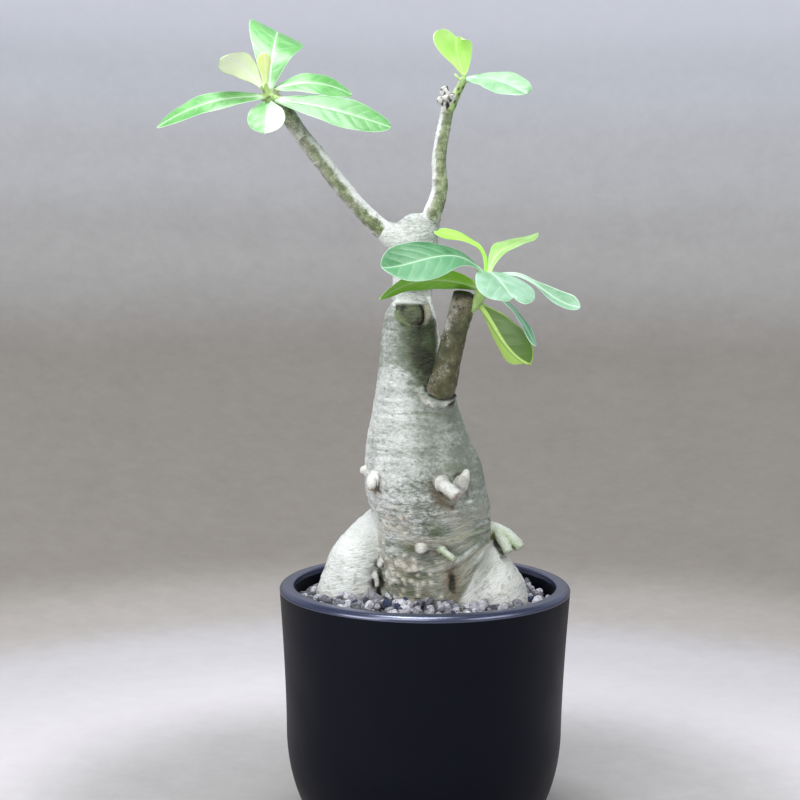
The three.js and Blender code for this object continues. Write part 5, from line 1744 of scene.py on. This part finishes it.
# --- putting it together
# Each look's deep and light tones, underside, lines, edge and other settings of leaf_finish.
LEAF_TONES = {
    "green": ((0.13, 0.41, 0.11), (0.23, 0.56, 0.2), (0.26, 0.54, 0.22),
              (0.66, 0.88, 0.64), (0.76, 0.92, 0.75)),
    "young": ((0.31, 0.58, 0.14), (0.43, 0.69, 0.25), (0.4, 0.72, 0.15),
              (0.62, 0.86, 0.4), (0.66, 0.88, 0.44), 0.5),
    # painted sheen: pale bluish tones that stand in for the reflection of the light above
    "painted_sheen": ((0.2, 0.43, 0.24), (0.37, 0.6, 0.45), (0.2, 0.42, 0.22),
               (0.66, 0.86, 0.7), (0.72, 0.9, 0.76)),
    "bluish": ((0.04, 0.185, 0.065), (0.1, 0.295, 0.13), (0.2, 0.42, 0.2),
               (0.52, 0.78, 0.55), (0.68, 0.88, 0.72), 0.34, (0.12, 0.345, 0.165)),
    "bud": ((0.74, 0.96, 0.26), (0.94, 1.0, 0.5), (0.7, 0.92, 0.3),
            (0.98, 1.0, 0.66), (1.0, 1.0, 0.92), 0.45, None, (1.0, 1.0, 0.4), 0.1),
    "deep": ((0.095, 0.33, 0.085), (0.175, 0.46, 0.155), (0.22, 0.48, 0.19),
             (0.6, 0.84, 0.58), (0.7, 0.9, 0.7)),
    # painted shade on the dark blade, painted light on the other half
    "hanging": ((0.07, 0.135, 0.03), (0.1, 0.18, 0.045), (0.11, 0.22, 0.04),
                (0.26, 0.42, 0.13), (0.48, 0.72, 0.16), 0.4, (0.6, 0.88, 0.21)),
    "lime": ((0.44, 0.76, 0.18), (0.54, 0.84, 0.27), (0.5, 0.8, 0.22),
             (0.55, 0.84, 0.3), (0.74, 0.94, 0.55), 0.5),
    "low": ((0.16, 0.48, 0.03), (0.29, 0.68, 0.06), (0.23, 0.56, 0.035),
            (0.56, 0.78, 0.36), (0.56, 0.8, 0.3)),
    # painted sheen: pale mint tones that stand in for the reflection of the light above
    "mint_sheen": ((0.22, 0.46, 0.23), (0.4, 0.62, 0.4), (0.4, 0.64, 0.38),
             (0.52, 0.76, 0.58), (0.66, 0.88, 0.74)),
    "pale": ((0.86, 1.0, 0.6), (1.0, 1.0, 0.86), (0.9, 1.0, 0.7),
             (1.0, 1.0, 0.96), (0.72, 0.93, 0.4), 0.42, None, (1.0, 1.0, 0.85), 0.0),
    "shaded": ((0.1, 0.3, 0.16), (0.24, 0.48, 0.34), (0.2, 0.42, 0.2),
               (0.4, 0.64, 0.46), (0.62, 0.84, 0.68)),
    # painted highlight: the pale other half stands in for gloss
    "gloss_half_painted": ((0.15, 0.43, 0.135), (0.25, 0.55, 0.23), (0.24, 0.52, 0.22),
                (0.55, 0.8, 0.53), (0.66, 0.86, 0.64), 0.36, (0.56, 0.7, 0.545)),
    "sprouting": ((0.22, 0.58, 0.02), (0.34, 0.74, 0.06), (0.3, 0.68, 0.04),
                  (0.36, 0.72, 0.09), (0.44, 0.8, 0.16), 0.55),
}
# How many millimetres past the midrib a look's other half reaches; on the hanging leaf it moves
# the edge of the painted light off the midrib.
PAST_RIB = {"hanging": 2.2}
# Leaves whose look isn't their slot's.
LEAF_OWN = {"leaf_left_pale": "pale", "leaf_left_bud": "bud", "leaf_left_long_right": "deep",
            "leaf_left_front": "gloss_half_painted", "leaf_right_folded": "lime", "leaf_right_flat": "mint_sheen",
            "leaf_front_broad": "bluish", "leaf_front_lower_left": "low",
            "leaf_front_young_left": "sprouting", "leaf_front_near": "painted_sheen",
            "leaf_front_right": "painted_sheen", "leaf_front_hanging": "hanging",
            "leaf_front_lower_right": "shaded"}
LEAF_LOOKS = {look: leaf_finish(look + "_leaf", *tones, past=PAST_RIB.get(look, 0.0))
              for look, tones in LEAF_TONES.items()}

make_camera()
make_stage()
make_lights()
make_pot(pot_finish("matte_black_glaze", (0.0018, 0.0022, 0.0048), (0.003, 0.0036, 0.007), 0.48, 0.12),
         pot_finish("rim_glaze_painted_sheen", (0.012, 0.017, 0.045), (0.016, 0.022, 0.055), 0.24, 1.0, 1.75))
make_bed(bed_finish())
body = woody_body()
make_gravel(gravel_finish(), body)
mix_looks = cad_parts["potting_mix"].data.materials
mix_looks.clear()
mix_looks.append(mix_finish())

make_caudex(body, bark_finish())
make_crack(crack_shade_finish())

young_bark = stem_finish("young_stem_bark", (0.15, 0.16, 0.115), (0.34, 0.345, 0.285))
old_bark = stem_finish("old_stem_bark", (0.04, 0.043, 0.016), (0.104, 0.106, 0.05))

stem_piece("stem_left_bark", [dict(stations=LEFT_STEM)]
           + [dict(stations=foot, sides=24, spacing=0.4) for foot in LEFT_CROWN],
           left_stem_detail, "stem_bark", young_bark, "stem_left", fresh=range(1, 8))
stem_piece("stem_right_bark", [dict(stations=RIGHT_STEM), dict(stations=RIGHT_TWIG, sides=28)]
           + [dict(stations=knob, sides=24) for knob in RIGHT_KNOBS],
           right_stem_detail, "stem_bark", young_bark, "stem_right", fresh=(1,))
stem_piece("stem_front_bark", [dict(stations=FRONT_STEM, sides=48, dome=(0.6, 0.25)),
                               dict(stations=FRONT_SHOOT, sides=28)],
           front_stem_detail, "stem_bark", old_bark, "stem_front", fresh=(1,))

leaf_blade("leaf_left_upright", "leaf_green", (-79, -7.5, 378), (-79.3, 33.9, 413.3),
           (-0.05, -0.7, 0.71), 30.4, (13.6, 10.6), (0.3, 3.4), twist=-33.5, wide=0.74, full=0.35,
           notch=6.5, skew=2.9, end=0.9, seed=1)
leaf_blade("leaf_left_pale", "leaf_young", (-81, -8.2, 379.4), (-101.3, -20.1, 394.2),
           (-0.68, -0.73, -0.04), 19, (-4.4, -8.3), (-0.5, -0.4), cup=0.11, twist=-7, wide=0.72,
           full=0.57, skew=0.5, seed=2)
leaf_blade("leaf_left_bud", "leaf_young", (-80.5, -10.9, 379.3), (-80.8, -18.3, 397.3),
           (0.36, -0.92, 0.15), 7.4, (-1, 1), cup=-0.25, wide=0.77, full=0.56, ripple=0.1, seed=3)
leaf_blade("leaf_left_inner", "leaf_green", (-77.5, -4.5, 380), (-39, 9, 379),
           (0.2, -0.6, 0.8), 19, (8, 7), full=0.55, seed=4)
leaf_blade("leaf_left_long_right", "leaf_green", (-76.5, -10.5, 375), (-18.5, -14.5, 361.5),
           (-0.05, -0.7, 0.7), 22, (4, 3), twist=8, wide=0.63, full=0.51, seed=5)
leaf_blade("leaf_left_long_left", "leaf_green", (-80, -8, 376.3), (-133.5, -19.5, 360.5),
           (-0.2, -0.65, 0.75), 15.5, (8, 8), wide=0.55, full=0.62, seed=6)
leaf_blade("leaf_left_front", "leaf_green", (-79.5, -10, 374.5), (-78.5, -37.5, 357),
           (0, -0.5, 0.85), 18.5, (3, 1), seed=7)
leaf_blade("leaf_right_folded", "leaf_young", (17.7, 9, 388), (14, 20.5, 410.2),
           (0.08, -0.97, 0.24), 18.6, (-4.8, -2.1), (0.5, -2.2), cup=0.59, fold=0.7, twist=23, wide=0.7,
           full=0.35, notch=1, corner=2.9, skew=3.1, ripple=0.05, end=0.95, seed=8)
leaf_blade("leaf_right_flat", "leaf_green", (19.3, 7.4, 386.6), (47.7, -20.5, 377.8),
           (-0.08, -0.68, 0.73), 19.3, (2.7, 1.7), (-6.1, -1.8), cup=-0.22, fold=0.22, twist=10.9,
           wide=0.63, full=0.41, seed=9)
leaf_blade("leaf_right_bud", "leaf_young", (15.6, 6.9, 386.8), (12.8, 4.4, 389.2),
           (0.4, -0.6, 0.7), 3, (0.5, 0.5), wide=0.55, ripple=0.0, seed=10)
leaf_blade("leaf_front_broad", "leaf_green", (28.5, -31.5, 288), (-21.2, -62, 293.8),
           (-0.18, -0.65, 0.74), 30.3, (18.3, 0.8), (8.8, 1.3), twist=-2.9, wide=0.68, full=0.64,
           seed=11)
leaf_blade("leaf_front_lower_left", "leaf_green", (27, -31, 283), (-23, -42, 278),
           (0.05, 0.5, 0.85), 22, (11, 11), wide=0.5, full=0.65, seed=12)
leaf_blade("leaf_front_young_left", "leaf_young", (28, -30.5, 288.5), (4.1, -11.4, 310.8),
           (0.54, -0.73, 0.43), 7, (10, 5.4), (13.1, 4), twist=16, wide=0.84, full=0.47, skew=0.7,
           seed=13)
leaf_blade("leaf_front_young_right", "leaf_young", (30, -31.5, 288.5), (54.8, -7.6, 310.3),
           (-0.55, -0.65, 0.52), 20.4, (12.8, 0), (-2.9, -0.7), cup=0.12, twist=12.3, wide=0.64,
           full=0.87, seed=14)
leaf_blade("leaf_front_near", "leaf_green", (29.5, -33, 288), (40.7, -68.9, 278.2),
           (0.18, -0.51, 0.84), 30.6, (14.4, 0.4), (8.7, -3.2), cup=-0.1, fold=0.07, twist=4.2,
           wide=0.63, full=0.96, notch=6.9, skew=-1, end=0.93, seed=15)
leaf_blade("leaf_front_right", "leaf_green", (29.5, -31, 287), (73.8, -41.9, 275.1),
           (0.55, -0.58, 0.6), 10.2, (12.7, -1.8), (-10.1, 4.7), cup=0.19, fold=0.22, twist=-10.4,
           wide=0.84, full=0.54, seed=16)
leaf_blade("leaf_front_hanging", "leaf_green", (24, -30, 276), (48.1, -37, 247.1),
           (0.58, 0.62, 0.53), 22, (2.8, -4.3), (-1.9, -3.3), cup=0.22, fold=0.28, twist=13.8,
           wide=0.67, full=0.48, skew=-2.7, seed=17)
leaf_blade("leaf_front_lower_right", "leaf_green", (28, -30, 284), (51.9, -47.5, 256.6),
           (0.74, -0.34, 0.58), 7.6, (3.9, 1.6), (-9.5, -5.2), twist=-5.8, wide=0.62, full=0.45,
           seed=18)
